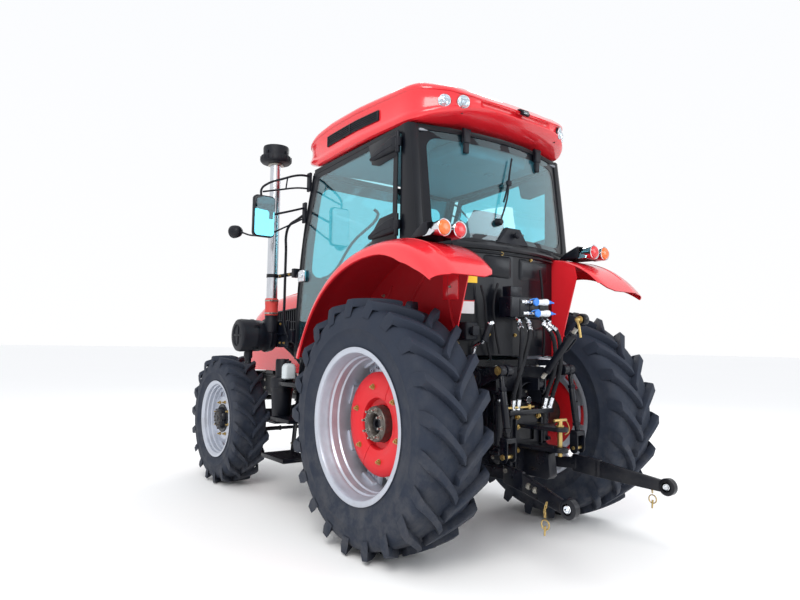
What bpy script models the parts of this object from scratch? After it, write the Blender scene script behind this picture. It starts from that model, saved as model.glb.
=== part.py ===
"""Farm tractor with a cab, built from named sub-parts.

Frame: +X forward, +Y to the tractor's left, +Z up. Lengths are in metres.
Shapes are drawn with X = 0 above the rear axle, and the empty tractor_centre
moves them so that the origin lies on the ground under the middle of the model.
"""

import math

import bmesh
import bpy
from mathutils import Matrix, Vector
from mathutils.geometry import interpolate_bezier

for old in list(bpy.data.objects):
    bpy.data.objects.remove(old, do_unlink=True)

# Driving dimensions
GAP = 0.0003
WHEELBASE = 2.32
WHEEL_SIDES = 32
ROUND_SIDES = 20
PIN_SIDES = 12

REAR_RADIUS = 0.756
REAR_Y = 0.79
REAR_BEAD = 0.430
REAR_FLANGE = 0.4565
REAR_AXLE_Z = REAR_RADIUS * math.cos(math.pi / WHEEL_SIDES)
DISC_RADIUS = 0.312
LUG_COUNT = 8

FRONT_RADIUS = 0.556
FRONT_Y = 0.80
FRONT_BEAD = 0.305
FRONT_FLANGE = 0.3295
FRONT_AXLE_Z = FRONT_RADIUS * math.cos(math.pi / WHEEL_SIDES)
KINGPIN_Y = 0.60
EAR_HALF = 0.045
EAR_END_Y = 0.638
STEER_ARM = 0.20
TIE_ROD_Z = 0.46

LINK_REAR_X = -1.12
EYE_RADIUS = 0.05
WEIGHT_FRONT_X = 3.25
MIDDLE_X = (WEIGHT_FRONT_X + LINK_REAR_X - EYE_RADIUS) / 2

CAB_SIDE = 0.70
INNER_SIDE = 0.485
FLOOR_Z = 1.10
SHELL = 0.03

HITCH_PIN_X = -0.706
HITCH_PAD_Z = 0.646

LIFT_AXIS = (-0.27, 1.03)
LIFT_TIP = (-0.53, 1.085)
LOWER_PIVOT = (-0.22, 0.48)
ROD_FOOT = (-0.59, 0.60)
TOP_LINK_PIVOT = (-0.50, 1.00)
TOP_LINK_END = (-0.83, 1.39)
TOP_LINK_Y = -0.05
DOOR_AXIS = (-0.05, 0.735)
ENGINE_SIDE = 0.2203
STACK_X = 1.52
STACK_Y = 0.80
HOOD_AXIS = (1.335, 1.70)
NOSE_X = 3.0
POST_FOOT_Z = 1.8463
WHEEL_CENTRE = Vector((0.80, 0.0, 1.92))
COLUMN_LEAN = math.radians(30)
RIM_RADIUS = 0.19

centre = bpy.data.objects.new("tractor_centre", None)
centre.location = (-MIDDLE_X, 0.0, 0.0)
bpy.context.scene.collection.objects.link(centre)
shapes = bpy.data.collections.new("shapes")
bpy.context.scene.collection.children.link(shapes)


def linear(channel):
    """One sRGB channel, 0 to 1, as linear light."""
    return channel / 12.92 if channel <= 0.04045 else ((channel + 0.055) / 1.055) ** 2.4


def finish_of(name, colour, roughness, metallic=0.0, alpha=1.0):
    """A Principled material; colour is an sRGB hex string."""
    material = bpy.data.materials.new(name)
    material.use_nodes = True
    shader = material.node_tree.nodes["Principled BSDF"]
    rgb = [linear(int(colour[i : i + 2], 16) / 255) for i in (0, 2, 4)]
    shader.inputs["Base Color"].default_value = (*rgb, 1.0)
    shader.inputs["Roughness"].default_value = roughness
    shader.inputs["Metallic"].default_value = metallic
    shader.inputs["Alpha"].default_value = alpha
    material.diffuse_color = (*rgb, alpha)
    return material


RED = finish_of("red_paint", "D8232A", 0.3)
BLACK = finish_of("black_paint", "14161C", 0.45)
PLASTIC = finish_of("black_plastic", "1A1C22", 0.55)
SILVER = finish_of("silver_rim_paint", "C3C8D2", 0.4, 0.5)
RUBBER = finish_of("tyre_rubber", "2A303A", 0.85)
GLASS = finish_of("tinted_glass", "7FC6D6", 0.05, 0.0, 0.35)
STEEL = finish_of("bare_steel", "A9ABAF", 0.35, 1.0)
FABRIC = finish_of("seat_fabric", "30343C", 0.9)
LENS = finish_of("lamp_lens", "D8501E", 0.2)


# Shape makers. Each returns a helper object in the shapes collection.


def shape_from(bm):
    """Closes off a bmesh as a helper object with its faces pointing out."""
    bm.normal_update()
    bmesh.ops.recalc_face_normals(bm, faces=bm.faces)
    if bm.calc_volume(signed=True) < 0:
        bmesh.ops.reverse_faces(bm, faces=bm.faces)
    mesh = bpy.data.meshes.new("shape")
    bm.to_mesh(mesh)
    bm.free()
    helper = bpy.data.objects.new("shape", mesh)
    shapes.objects.link(helper)
    return helper


def block(low, high, bevel=0.0):
    """A box between two corners, its edges bevelled if asked."""
    bm = bmesh.new()
    bmesh.ops.create_cube(bm, size=1.0)
    low, high = Vector(low), Vector(high)
    bmesh.ops.scale(bm, vec=high - low, verts=bm.verts)
    bmesh.ops.translate(bm, vec=(low + high) / 2, verts=bm.verts)
    if bevel:
        bmesh.ops.bevel(bm, geom=bm.edges[:], offset=bevel, segments=1, affect="EDGES")
    return shape_from(bm)


def loft(rings):
    """A skin over rings that all have the same number of points, closed at both ends."""
    bm = bmesh.new()
    rows = [[bm.verts.new(point) for point in ring] for ring in rings]
    count = len(rows[0])
    for near, far in zip(rows, rows[1:]):
        for i in range(count):
            j = (i + 1) % count
            bm.faces.new((near[i], near[j], far[j], far[i]))
    bm.faces.new(rows[0])
    bm.faces.new(rows[-1])
    return shape_from(bm)


def prism(outline, axis, low, high):
    """An outline pushed along an axis.

    Its points are (x, z) along Y, (y, z) along X and (x, y) along Z.
    """
    place = {
        "X": lambda a, b, along: (along, a, b),
        "Y": lambda a, b, along: (a, along, b),
        "Z": lambda a, b, along: (a, b, along),
    }[axis]
    return loft([[place(a, b, along) for a, b in outline] for along in (low, high)])


def turned(profile, middle, axis="Y", steps=ROUND_SIDES):
    """A profile of (radius, along) points turned about an axis through middle, a flat side down.

    A profile that starts and ends on the axis is a solid; any other is a ring.
    """
    across, up = {"X": ("Y", "Z"), "Y": ("X", "Z"), "Z": ("X", "Y")}[axis]
    unit = {"X": Vector((1, 0, 0)), "Y": Vector((0, 1, 0)), "Z": Vector((0, 0, 1))}
    ring = profile[0][0] > 0
    bm = bmesh.new()
    half = math.pi / steps
    outwards = unit[across] * math.sin(half) - unit[up] * math.cos(half)
    verts = [
        bm.verts.new(Vector(middle) + outwards * radius + unit[axis] * along)
        for radius, along in profile
    ]
    pairs = list(zip(verts, verts[1:])) + ([(verts[-1], verts[0])] if ring else [])
    edges = [bm.edges.new(pair) for pair in pairs]
    bmesh.ops.spin(
        bm,
        geom=verts + edges,
        cent=middle,
        axis=unit[axis],
        angle=math.tau,
        steps=steps,
        use_merge=True,
    )
    bmesh.ops.remove_doubles(bm, verts=bm.verts, dist=1e-6)
    return shape_from(bm)


def rod(start, end, radius, end_radius=None, sides=PIN_SIDES):
    """A straight round bar or cone from start to end."""
    start, end = Vector(start), Vector(end)
    along = end - start
    bm = bmesh.new()
    bmesh.ops.create_cone(
        bm,
        cap_ends=True,
        segments=sides,
        radius1=radius,
        radius2=radius if end_radius is None else end_radius,
        depth=along.length,
    )
    turn = along.to_track_quat("Z", "Y").to_matrix().to_4x4()
    bm.transform(Matrix.Translation((start + end) / 2) @ turn)
    return shape_from(bm)


def pipe(points, radius, sides=8):
    """A round tube along a polyline, with mitred corners."""
    points = [Vector(point) for point in points]
    aside = Vector((0.0, 1.0, 0.0))
    if abs((points[1] - points[0]).normalized().y) > 0.8:
        aside = Vector((0.0, 0.0, 1.0))
    rings = []
    for i, point in enumerate(points):
        back = (point - points[max(i - 1, 0)]).normalized()
        ahead = (points[min(i + 1, len(points) - 1)] - point).normalized()
        along = (back + ahead).normalized()
        stretch = 1.0 / max(along.dot(ahead if ahead.length else back), 0.5)
        aside = (aside - along * aside.dot(along)).normalized()
        other = along.cross(aside)
        bend = ahead - back
        corner = back.length and ahead.length and bend.length > 1e-4
        bend.normalize()
        ring = []
        for k in range(sides):
            angle = math.tau * k / sides
            out = (aside * math.cos(angle) + other * math.sin(angle)) * radius
            if corner:
                out += bend * out.dot(bend) * (stretch - 1.0)
            ring.append(point + out)
        rings.append(ring)
    return loft(rings)


def bezier(start, handle_1, handle_2, end, count):
    """Points of one Bezier curve in a plane, both ends included."""
    flat = [Vector((a, b, 0.0)) for a, b in (start, handle_1, handle_2, end)]
    return [(p.x, p.y) for p in interpolate_bezier(*flat, count)]


def offset(curve, distance):
    """The curve moved to the left of its direction by a distance."""
    moved = []
    for i, point in enumerate(curve):
        near = Vector(curve[max(i - 1, 0)])
        far = Vector(curve[min(i + 1, len(curve) - 1)])
        along = (far - near).normalized()
        moved.append((point[0] - along.y * distance, point[1] + along.x * distance))
    return moved


def evaluated(first, operations):
    """The mesh of first after unions and cuts with lists of helpers."""
    for operation, others in operations:
        for other in others:
            modifier = first.modifiers.new(operation, "BOOLEAN")
            modifier.operation = operation
            modifier.object = other
            modifier.solver = "EXACT"
    graph = bpy.context.evaluated_depsgraph_get()
    return bpy.data.meshes.new_from_object(first.evaluated_get(graph))


def part(name, material, solids, cuts=(), origin=(0.0, 0.0, 0.0), smooth=35):
    """Joins solids, takes the cuts away and leaves one named object whose origin is where it turns."""
    mesh = evaluated(solids[0], [("UNION", solids[1:]), ("DIFFERENCE", list(cuts))])
    for helper in list(shapes.all_objects):
        bpy.data.objects.remove(helper, do_unlink=True)
    mesh.name = name
    mesh.transform(Matrix.Translation(-Vector(origin)))
    mesh.materials.clear()
    mesh.materials.append(material)
    if smooth:
        mesh.shade_smooth()
        mesh.set_sharp_from_angle(angle=math.radians(smooth))
    made = bpy.data.objects.new(name, mesh)
    made.location = origin
    made.parent = centre
    bpy.context.scene.collection.objects.link(made)
    return made


def mirrored(left, name):
    """The right-hand twin of a left-hand object."""
    mesh = left.data.copy()
    mesh.name = name
    mesh.transform(Matrix.Diagonal((1.0, -1.0, 1.0, 1.0)))
    mesh.flip_normals()
    twin = bpy.data.objects.new(name, mesh)
    twin.location = (left.location.x, -left.location.y, left.location.z)
    twin.parent = centre
    bpy.context.scene.collection.objects.link(twin)
    return twin


def twins(name, material, solids, cuts=(), origin=(0.0, 0.0, 0.0)):
    """A left-hand object and its right-hand twin."""
    left = part(f"{name}_left", material, solids, cuts, origin)
    return left, mirrored(left, f"{name}_right")


# Outlines that several parts share


def fender_curve(grown=0.0):
    """The fender's top line, front to rear, in (x, z), moved outwards by grown."""
    front = bezier((0.80, 1.13), (0.66, 1.55), (0.30, 1.81), (-0.16, 1.815), 7)
    rear = bezier((-0.16, 1.815), (-0.40, 1.815), (-0.55, 1.72), (-0.66, 1.585), 5)
    return offset(front + rear[1:], -grown)


def door_outline(inset=0.0):
    """The door's edge in (x, z): up over the fender, along the roof and down the front post."""
    over = bezier(
        (0.91 + inset, 1.165 + inset),
        (0.78 + inset, 1.56 + inset),
        (0.36 + inset, 1.87 + inset),
        (-0.03 + inset, 1.875 + inset),
        8,
    )
    top = [(-0.03 + inset, 2.565 - inset), (0.985 - inset, 2.50 - inset)]
    front = [(1.165 - inset, 2.0), (1.245 - inset, 1.35), (1.25 - inset, 1.165 + inset)]
    return over + top + front


def bowed(edge_x, bow, half_width, count):
    """A line across the cab in (x, y) that bows away from its ends at edge_x by bow."""
    line = []
    for i in range(count):
        y = half_width * (2 * i / (count - 1) - 1)
        line.append((edge_x + bow * (1 - (y / half_width) ** 2), y))
    return line


def bowed_band(edge_x, bow, half_width, depth, low, high, count=7):
    """A bowed bar of the given depth along X between two heights."""
    line = bowed(edge_x, bow, half_width, count)
    back = [(x + depth, y) for x, y in reversed(line)]
    return prism(line + back, "Z", low, high)


def pane(rows, bow, thickness, count=7):
    """A bowed glass sheet; rows are (x at the edge, half width, z) from bottom to top."""
    rings = []
    for edge_x, half_width, z in rows:
        line = bowed(edge_x, bow, half_width, count)
        back = [(x + thickness, y) for x, y in reversed(line)]
        rings.append([(x, y, z) for x, y in line + back])
    return loft(rings)


# Wheels


def tyre(name, x, y, axle_z, profile):
    """A tyre as a turned ring; the mirrored half of its profile is added here."""
    ring = profile + [(radius, -along) for radius, along in reversed(profile)]
    solid = turned(ring, (x, y, axle_z), steps=WHEEL_SIDES)
    return twins(name, RUBBER, [solid], origin=(x, y, axle_z))


def rear_wheel():
    """Tyre, rim with its lugs, and cast centre disc with the hub."""
    middle = (0.0, REAR_Y, REAR_AXLE_Z)
    profile = [(REAR_BEAD, 0.175), (0.60, 0.21), (0.70, 0.20), (REAR_RADIUS, 0.16)]
    tyre("tyre_rear", *middle, profile)
    seat = REAR_BEAD * math.cos(math.pi / WHEEL_SIDES) - GAP
    half = [(0.417, 0.170), (REAR_FLANGE, 0.193), (REAR_FLANGE, 0.184), (seat, 0.1785)]
    ring = turned(half + [(r, -y) for r, y in reversed(half)], middle)
    lugs = []
    for i in range(LUG_COUNT):
        lug = block((0.27, REAR_Y - 0.080, -0.035), (0.419, REAR_Y - 0.0503, 0.035))
        angle = math.tau * (i + 0.5) / LUG_COUNT
        lug.data.transform(Matrix.Rotation(angle, 4, "Y"))
        lug.data.transform(Matrix.Translation((0.0, 0.0, REAR_AXLE_Z)))
        lugs.append(lug)
    band = turned([(0.262, -0.076), (0.262, -0.0543), (0.300, -0.0543), (0.300, -0.076)], middle)
    twins("rim_rear", SILVER, [ring, band] + lugs, origin=middle)
    disc = [
        (0.0, 0.0),
        (0.055, 0.0),
        (0.055, 0.045),
        (0.105, 0.045),
        (0.105, -0.015),
        (0.150, -0.015),
        (0.155, 0.028),
        (0.290, 0.028),
        (DISC_RADIUS, 0.012),
        (DISC_RADIUS, -0.050),
        (0.115, -0.050),
        (0.090, -0.168),
        (0.0, -0.168),
    ]
    twins("wheel_disc_rear", RED, [turned(disc, middle)], origin=middle)


def front_wheel():
    """Tyre and rim; the rim's disc carries the planetary hub."""
    middle = (WHEELBASE, FRONT_Y, FRONT_AXLE_Z)
    profile = [(FRONT_BEAD, 0.11), (0.43, 0.145), (0.51, 0.138), (FRONT_RADIUS, 0.11)]
    tyre("tyre_front", *middle, profile)
    seat = FRONT_BEAD * math.cos(math.pi / WHEEL_SIDES) - GAP
    rim = [
        (0.0, 0.10),
        (0.085, 0.10),
        (0.095, 0.055),
        (0.190, 0.055),
        (0.283, 0.020),
        (0.285, 0.100),
        (FRONT_FLANGE, 0.127),
        (FRONT_FLANGE, 0.118),
        (seat, 0.1115),
        (seat, -0.1115),
        (FRONT_FLANGE, -0.118),
        (FRONT_FLANGE, -0.127),
        (0.285, -0.100),
        (0.283, 0.005),
        (0.180, 0.035),
        (0.100, 0.035),
        (0.100, -0.043),
        (0.0, -0.043),
    ]
    twins("rim_front", SILVER, [turned(rim, middle)], origin=middle)


# Chassis


def transaxle():
    """Gearbox and rear axle casing with the trumpets, lift housing, power take-off and link pins."""
    x, z = LIFT_AXIS
    trumpet = [(0.0, 0.62), (0.115, 0.62), (0.115, 0.585), (0.085, 0.57), (0.13, 0.25)]
    both = trumpet + [(r, -y) for r, y in reversed(trumpet)]
    pivot_x, pivot_z = LOWER_PIVOT
    top_x, top_z = TOP_LINK_PIVOT
    ears = [
        block((top_x - 0.03, y - 0.006, top_z - 0.035), (-0.35, y + 0.006, top_z + 0.035))
        for y in (TOP_LINK_Y - 0.031, TOP_LINK_Y + 0.031)
    ]
    solids = [
        block((-0.36, -0.17, 0.50), (0.62, 0.17, 1.03), 0.03),
        block((0.60, -0.16, 0.52), (1.305 - GAP, 0.16, 0.93), 0.02),
        block((-0.40, -0.22, 0.95), (-0.02, 0.22, FLOOR_Z - GAP)),
        turned(both, (0.0, 0.0, REAR_AXLE_Z)),
        rod((-0.35, 0.0, 0.90), (-0.40, 0.0, 0.90), 0.06),
        rod((-0.35, 0.0, 0.90), (-0.47, 0.0, 0.90), 0.0175),
        rod((pivot_x, -0.305, pivot_z), (pivot_x, 0.305, pivot_z), 0.02),
        block((pivot_x - 0.06, -0.225, pivot_z - 0.05), (pivot_x + 0.06, 0.225, 0.60)),
        rod((top_x, TOP_LINK_Y - 0.034, top_z), (top_x, TOP_LINK_Y + 0.034, top_z), 0.0125),
        rod((1.20, 0.0, 0.56), (2.18, 0.0, 0.56), 0.035),
    ]
    bore = rod((x, -0.3, z), (x, 0.3, z), 0.050)
    part("transaxle_housing", BLACK, solids + ears, [bore])


def front_chassis():
    """Engine as one plain block, front frame and the stack of front weights."""
    part("engine_block", BLACK, [block((1.305, -0.22, 0.62), (2.06, 0.22, 1.28), 0.02)])
    frame = [
        block((2.06 + GAP, -0.20, 0.70), (3.05, 0.20, 0.92), 0.01),
        block((2.22, -0.10, 0.665), (2.42, 0.10, 0.72)),
        block((2.60, -0.24, 0.90), (2.80, 0.24, 1.36), 0.02),
    ]
    part("front_frame", BLACK, frame)
    part("front_weights", BLACK, [block((3.05 + GAP, -0.33, 0.62), (WEIGHT_FRONT_X, 0.33, 0.93), 0.03)])


def front_axle():
    """Axle beam with its forked ends, knuckles with steering arms, and the tie rod."""
    z = FRONT_AXLE_Z
    beam = [
        turned(
            [
                (0.0, 0.54),
                (0.065, 0.54),
                (0.070, 0.20),
                (0.110, 0.08),
                (0.110, -0.12),
                (0.070, -0.22),
                (0.065, -0.54),
                (0.0, -0.54),
            ],
            (WHEELBASE, 0.0, z),
        ),
        block((WHEELBASE - 0.09, -0.09, z + 0.05), (WHEELBASE + 0.09, 0.09, 0.665 - GAP)),
    ]
    for side in (1, -1):
        low, high = sorted((side * 0.49, side * EAR_END_Y))
        for ear in (-0.125, 0.092):
            near = (WHEELBASE - EAR_HALF, low, z + ear)
            beam.append(block(near, (WHEELBASE + EAR_HALF, high, z + ear + 0.033), 0.008))
        low, high = sorted((side * 0.48, side * 0.52))
        beam.append(block((WHEELBASE - 0.045, low, z - 0.12), (WHEELBASE + 0.045, high, z + 0.12)))
    hollow = [
        rod((2.0, 0.0, 0.56), (2.1905, 0.0, 0.56), 0.042),
    ]
    part("front_axle_beam", BLACK, beam, hollow)

    pin = (WHEELBASE, KINGPIN_Y, z)
    arm_x = WHEELBASE - STEER_ARM
    knuckle = [
        rod((WHEELBASE, KINGPIN_Y, z - 0.087), (WHEELBASE, KINGPIN_Y, z + 0.087), 0.055),
        turned([(0.0, 0.0), (0.07, 0.0), (0.075, 0.055), (0.11, 0.065), (0.11, 0.150), (0.0, 0.150)], pin),
        block((arm_x, 0.585, TIE_ROD_Z + 0.020), (WHEELBASE, 0.615, z - 0.055)),
        rod((arm_x, KINGPIN_Y, TIE_ROD_Z - 0.025), (arm_x, KINGPIN_Y, TIE_ROD_Z + 0.045), 0.012),
        rod((arm_x, KINGPIN_Y, TIE_ROD_Z + 0.020), (arm_x, KINGPIN_Y, TIE_ROD_Z + 0.045), 0.028),
    ]
    twins("knuckle", BLACK, knuckle, origin=pin)

    ends = [(arm_x, side * KINGPIN_Y, TIE_ROD_Z) for side in (1, -1)]
    tie = [rod(*ends, 0.018)]
    tie += [rod((x, y, h - 0.018), (x, y, h + 0.014), 0.030) for x, y, h in ends]
    holes = [rod((x, y, h - 0.1), (x, y, h + 0.1), 0.0150) for x, y, h in ends]
    part("tie_rod", BLACK, tie, holes, origin=ends[0])


def rear_hitch():
    """Trailer hitch with its clevis and pin, fixed to the back of the casing."""
    x = HITCH_PIN_X
    tongue = [(-0.77, -0.045), (-0.77, 0.045), (-0.45, 0.08), (-0.45, -0.08)]
    plates = [
        block((-0.46, -0.15, 0.42), (-0.36 - GAP, 0.15, 0.83), 0.01),
        prism(tongue, "Z", 0.615, 0.640),
        rod((x, 0.0, 0.63), (x, 0.0, HITCH_PAD_Z), 0.036, sides=16),
        prism(tongue, "Z", 0.735, 0.760),
        prism([(-0.45, 0.60), (-0.63, 0.62), (-0.66, 0.45), (-0.45, 0.45)], "Y", -0.04, 0.04),
    ]
    hole = rod((x, 0.0, 0.5), (x, 0.0, 0.9), 0.0165)
    part("drawbar_hitch", BLACK, plates, [hole])
    pin = [
        rod((x, 0.0, 0.59), (x, 0.0, 0.80), 0.0145),
        rod((x, 0.0, 0.7605), (x, 0.0, 0.772), 0.024),
        rod((x, -0.05, 0.80), (x, 0.05, 0.80), 0.009),
    ]
    part("hitch_pin", STEEL, pin)


# Three-point linkage


def flat_bar(start, end, half_deep, half_thick):
    """A flat bar between two points, upright, with (x, y, z) ends."""
    rings = []
    for x, y, z in (start, end):
        rings.append(
            [
                (x, y - half_thick, z - half_deep),
                (x, y + half_thick, z - half_deep),
                (x, y + half_thick, z + half_deep),
                (x, y - half_thick, z + half_deep),
            ]
        )
    return loft(rings)


def linkage():
    """Lift shaft with two arms, lift rods, lower links and the stowed top link."""
    x, z = LIFT_AXIS
    tip_x, tip_z = LIFT_TIP
    arms = [rod((x, -0.282, z), (x, 0.282, z), 0.044)]
    for side in (1, -1):
        inner, outer = side * 0.235, side * 0.280
        arms.append(rod((x, inner, z), (x, outer, z), 0.062))
        root = [(x - 0.01, z - 0.05), (x + 0.01, z + 0.055)]
        slope = root + [(tip_x, tip_z + 0.03), (tip_x, tip_z - 0.03)]
        arms.append(prism(slope, "Y", *sorted((side * 0.245, side * 0.275))))
        arms.append(rod((tip_x, inner, tip_z), (tip_x, outer, tip_z), 0.036))
        arms.append(rod((tip_x, outer - side * 0.01, tip_z), (tip_x, side * 0.345, tip_z), 0.014))
    part("lift_arms", BLACK, arms, origin=(x, 0.0, z))

    foot_x, foot_z = ROD_FOOT
    rod_y = 0.315
    lift_rod = [
        rod((tip_x, 0.287, tip_z), (tip_x, 0.337, tip_z), 0.034),
        rod((tip_x, rod_y, tip_z - 0.02), (foot_x, rod_y, foot_z + 0.10), 0.021),
        block((foot_x - 0.03, 0.275, foot_z + 0.075), (foot_x + 0.03, 0.355, foot_z + 0.11)),
        block((foot_x - 0.03, 0.275, foot_z - 0.035), (foot_x + 0.03, 0.286, foot_z + 0.08)),
        block((foot_x - 0.03, 0.344, foot_z - 0.035), (foot_x + 0.03, 0.355, foot_z + 0.08)),
    ]
    eye = [rod((tip_x, 0.2, tip_z), (tip_x, 0.4, tip_z), 0.017)]
    twins("lift_rod", BLACK, lift_rod, eye, origin=(tip_x, rod_y, tip_z))

    pivot_x, pivot_z = LOWER_PIVOT
    start = (pivot_x, 0.265, pivot_z)
    waist = (foot_x, 0.315, 0.505)
    end = (LINK_REAR_X, 0.443, 0.44)
    link = [
        rod((pivot_x, 0.240, pivot_z), (pivot_x, 0.290, pivot_z), 0.042),
        flat_bar(start, waist, 0.035, 0.014),
        flat_bar((waist[0] + 0.02, waist[1] - 0.004, waist[2]), (-0.74, 0.347, 0.49), 0.055, 0.014),
        flat_bar((-0.72, 0.343, 0.492), (end[0] + 0.02, 0.443, end[2]), 0.05, 0.013),
        rod((end[0], 0.418, end[2]), (end[0], 0.468, end[2]), EYE_RADIUS, sides=16),
    ]
    eyes = [
        rod((pivot_x, 0.2, pivot_z), (pivot_x, 0.4, pivot_z), 0.0225),
        rod((end[0], 0.35, end[2]), (end[0], 0.55, end[2]), 0.0145),
    ]
    twins("lower_link", BLACK, link, eyes, origin=start)

    x, z = TOP_LINK_PIVOT
    end_x, end_z = TOP_LINK_END
    along = Vector((end_x - x, 0.0, end_z - z))
    near = Vector((x, TOP_LINK_Y, z)) + along * 0.20
    far = Vector((x, TOP_LINK_Y, z)) + along * 0.80
    top = [
        rod((x, TOP_LINK_Y - 0.022, z), (x, TOP_LINK_Y + 0.022, z), 0.030),
        rod((x, TOP_LINK_Y, z), (end_x, TOP_LINK_Y, end_z), 0.014),
        rod(near, far, 0.024),
        rod((end_x, TOP_LINK_Y - 0.022, end_z), (end_x, TOP_LINK_Y + 0.022, end_z), 0.036),
    ]
    eyes = [
        rod((x, -0.2, z), (x, 0.2, z), 0.0145),
        rod((end_x, -0.2, end_z), (end_x, 0.2, end_z), 0.013),
    ]
    part("top_link", BLACK, top, eyes, origin=(x, TOP_LINK_Y, z))


# Cab


def fenders():
    """Rear fenders: a curved top over the tyre and the wall inside it."""
    inner, outer = fender_curve(), fender_curve(SHELL)
    top = prism(inner + outer[::-1], "Y", INNER_SIDE, 0.955)
    rim = prism(fender_curve(-0.03) + outer[::-1], "Y", 0.935, 0.955)
    rear_corner = [point for point in fender_curve(0.01) if point[0] > -0.45]
    wall = prism(rear_corner + [(-0.36, 1.37), (-0.30, 1.16), (0.78, 1.16)], "Y", INNER_SIDE, 0.510)
    twins("fender", RED, [top, rim, wall])

    body = [(-0.49, 1.70), (-0.49, 1.925), (-0.40, 1.935), (-0.32, 1.87), (-0.32, 1.70)]
    lamps = [prism(body, "Y", 0.555, 0.805)]
    lamps += [rod((-0.48, y, 1.865), (-0.515, y, 1.865), 0.048) for y in (0.62, 0.735)]
    under = fender_curve(SHELL + GAP)
    below = prism(under + [(-0.66, 1.0), (0.8, 1.0)], "Y", 0.3, 1.1)
    twins("tail_lamp", LENS, lamps, [below])


def cab():
    """Floor, frame with posts and rails, roof and fixed glass."""
    floor = [
        block((-0.24, GAP - INNER_SIDE, FLOOR_Z), (1.30, INNER_SIDE - GAP, FLOOR_Z + 0.04)),
        block((0.84, -CAB_SIDE, FLOOR_Z), (1.30, CAB_SIDE, FLOOR_Z + 0.04)),
    ]
    part("cab_floor", BLACK, floor)

    foot = POST_FOOT_Z
    low = FLOOR_Z + 0.04 + GAP
    post_line = [(1.28, low), (1.27, 1.33), (1.18, 2.02), (1.035, 2.52)]
    frame = []
    sill_in, sill_out = fender_curve(SHELL + GAP), fender_curve(SHELL + 0.025)
    keep = [i for i, point in enumerate(sill_in) if -0.17 < point[0]]
    sill = [sill_in[i] for i in keep] + [sill_out[i] for i in reversed(keep)]
    for side in (1, -1):
        y0, y1 = sorted((side * 0.655, side * CAB_SIDE))
        rear = [
            [(-0.205, y0, foot), (-0.04, y0, foot), (-0.04, y1, foot), (-0.205, y1, foot)],
            [(-0.11, y0, 2.60), (-0.04, y0, 2.60), (-0.04, y1, 2.60), (-0.11, y1, 2.60)],
        ]
        frame.append(loft(rear))
        front = []
        for x, z in post_line:
            wide = 0.045 if z < 1.5 else 0.028
            back, ahead = x - wide, x + 0.028
            front.append([(back, y0, z), (ahead, y0, z), (ahead, y1, z), (back, y1, z)])
        frame.append(loft(front))
        rail = []
        for x, z in ((-0.10, 2.575), (1.05, 2.517)):
            under, over = z - 0.025, z + 0.025
            rail.append([(x, y0, under), (x, y1, under), (x, y1, over), (x, y0, over)])
        frame.append(loft(rail))
        frame.append(prism(sill, "Y", y0, y1))
        s0, s1 = sorted((side * (INNER_SIDE - 0.005), side * CAB_SIDE))
        frame.append(block((-0.20, s0, foot), (-0.05, s1, 1.88)))
    frame.append(bowed_band(-0.205, -0.13, 0.66, 0.04, foot, 1.88))
    frame.append(bowed_band(-0.245, -0.085, INNER_SIDE - GAP, 0.03, 1.17, 1.86))
    frame.append(bowed_band(-0.115, -0.12, 0.66, 0.05, 2.574, 2.60))
    frame.append(bowed_band(1.02, 0.06, 0.66, 0.04, 2.50, 2.54))
    wall = [(1.25, low), (1.30, low), (1.245, 1.69), (1.20, 1.69)]
    frame.append(prism(wall, "Y", -0.66, 0.66))
    part("cab_frame", BLACK, frame)

    rear = [(-0.200, 0.652, 1.8805), (-0.195, 0.652, 1.99), (-0.118, 0.652, 2.5735)]
    part("rear_window", GLASS, [pane(rear, -0.125, 0.008)])
    front = [(1.222, 0.652, 1.6905), (1.18, 0.652, 2.02), (1.048, 0.652, 2.4995)]
    part("windshield", GLASS, [pane(front, 0.055, 0.008)])


def roof():
    """The roof cap as one lofted body: bowed at the rear, overhanging at the front."""
    stations = [
        (-0.375, 0.36, 2.690, 2.770),
        (-0.300, 0.53, 2.645, 2.830),
        (-0.150, 0.690, 2.612, 2.880),
        (0.450, 0.725, 2.590, 2.895),
        (1.000, 0.715, 2.560, 2.880),
        (1.180, 0.690, 2.620, 2.840),
        (1.290, 0.620, 2.680, 2.770),
    ]
    rings = []
    for x, half_width, low, high in stations:
        tall = high - low
        half = [
            (half_width - 0.06, low),
            (half_width - 0.01, low + tall * 0.12),
            (half_width, low + tall * 0.45),
            (half_width - 0.045, low + tall * 0.80),
            (half_width - 0.20, high),
        ]
        rings.append([(x, y, z) for y, z in half] + [(x, -y, z) for y, z in reversed(half)])
    part("roof", RED, [loft(rings)])


def doors():
    """Glass doors hinged at the rear posts, with an edge frame that carries hinges and handle."""
    axis = (*DOOR_AXIS, 0.0)
    twins("door", GLASS, [prism(door_outline(), "Y", 0.712, 0.720)], origin=axis)
    x, y = DOOR_AXIS
    border = prism(door_outline(), "Y", 0.7203, 0.730)
    frame = [border]
    for low, high in ((1.90, 2.03), (2.42, 2.54)):
        frame.append(rod((x, y, low), (x, y, high), 0.014))
        cover = [(x - 0.012, low), (0.20, low + 0.03), (0.20, high - 0.02), (x - 0.012, high)]
        frame.append(prism(cover, "Y", 0.724, 0.749))
    frame.append(block((1.10, 0.725, 1.52), (1.235, 0.765, 1.575), 0.008))
    window = prism(door_outline(0.028), "Y", 0.700, 0.740)
    # The window is cut out of the border before the hinges and handle are joined to it.
    cut = border.modifiers.new("window", "BOOLEAN")
    cut.operation = "DIFFERENCE"
    cut.object = window
    cut.solver = "EXACT"
    twins("door_frame", BLACK, frame, origin=axis)


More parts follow.
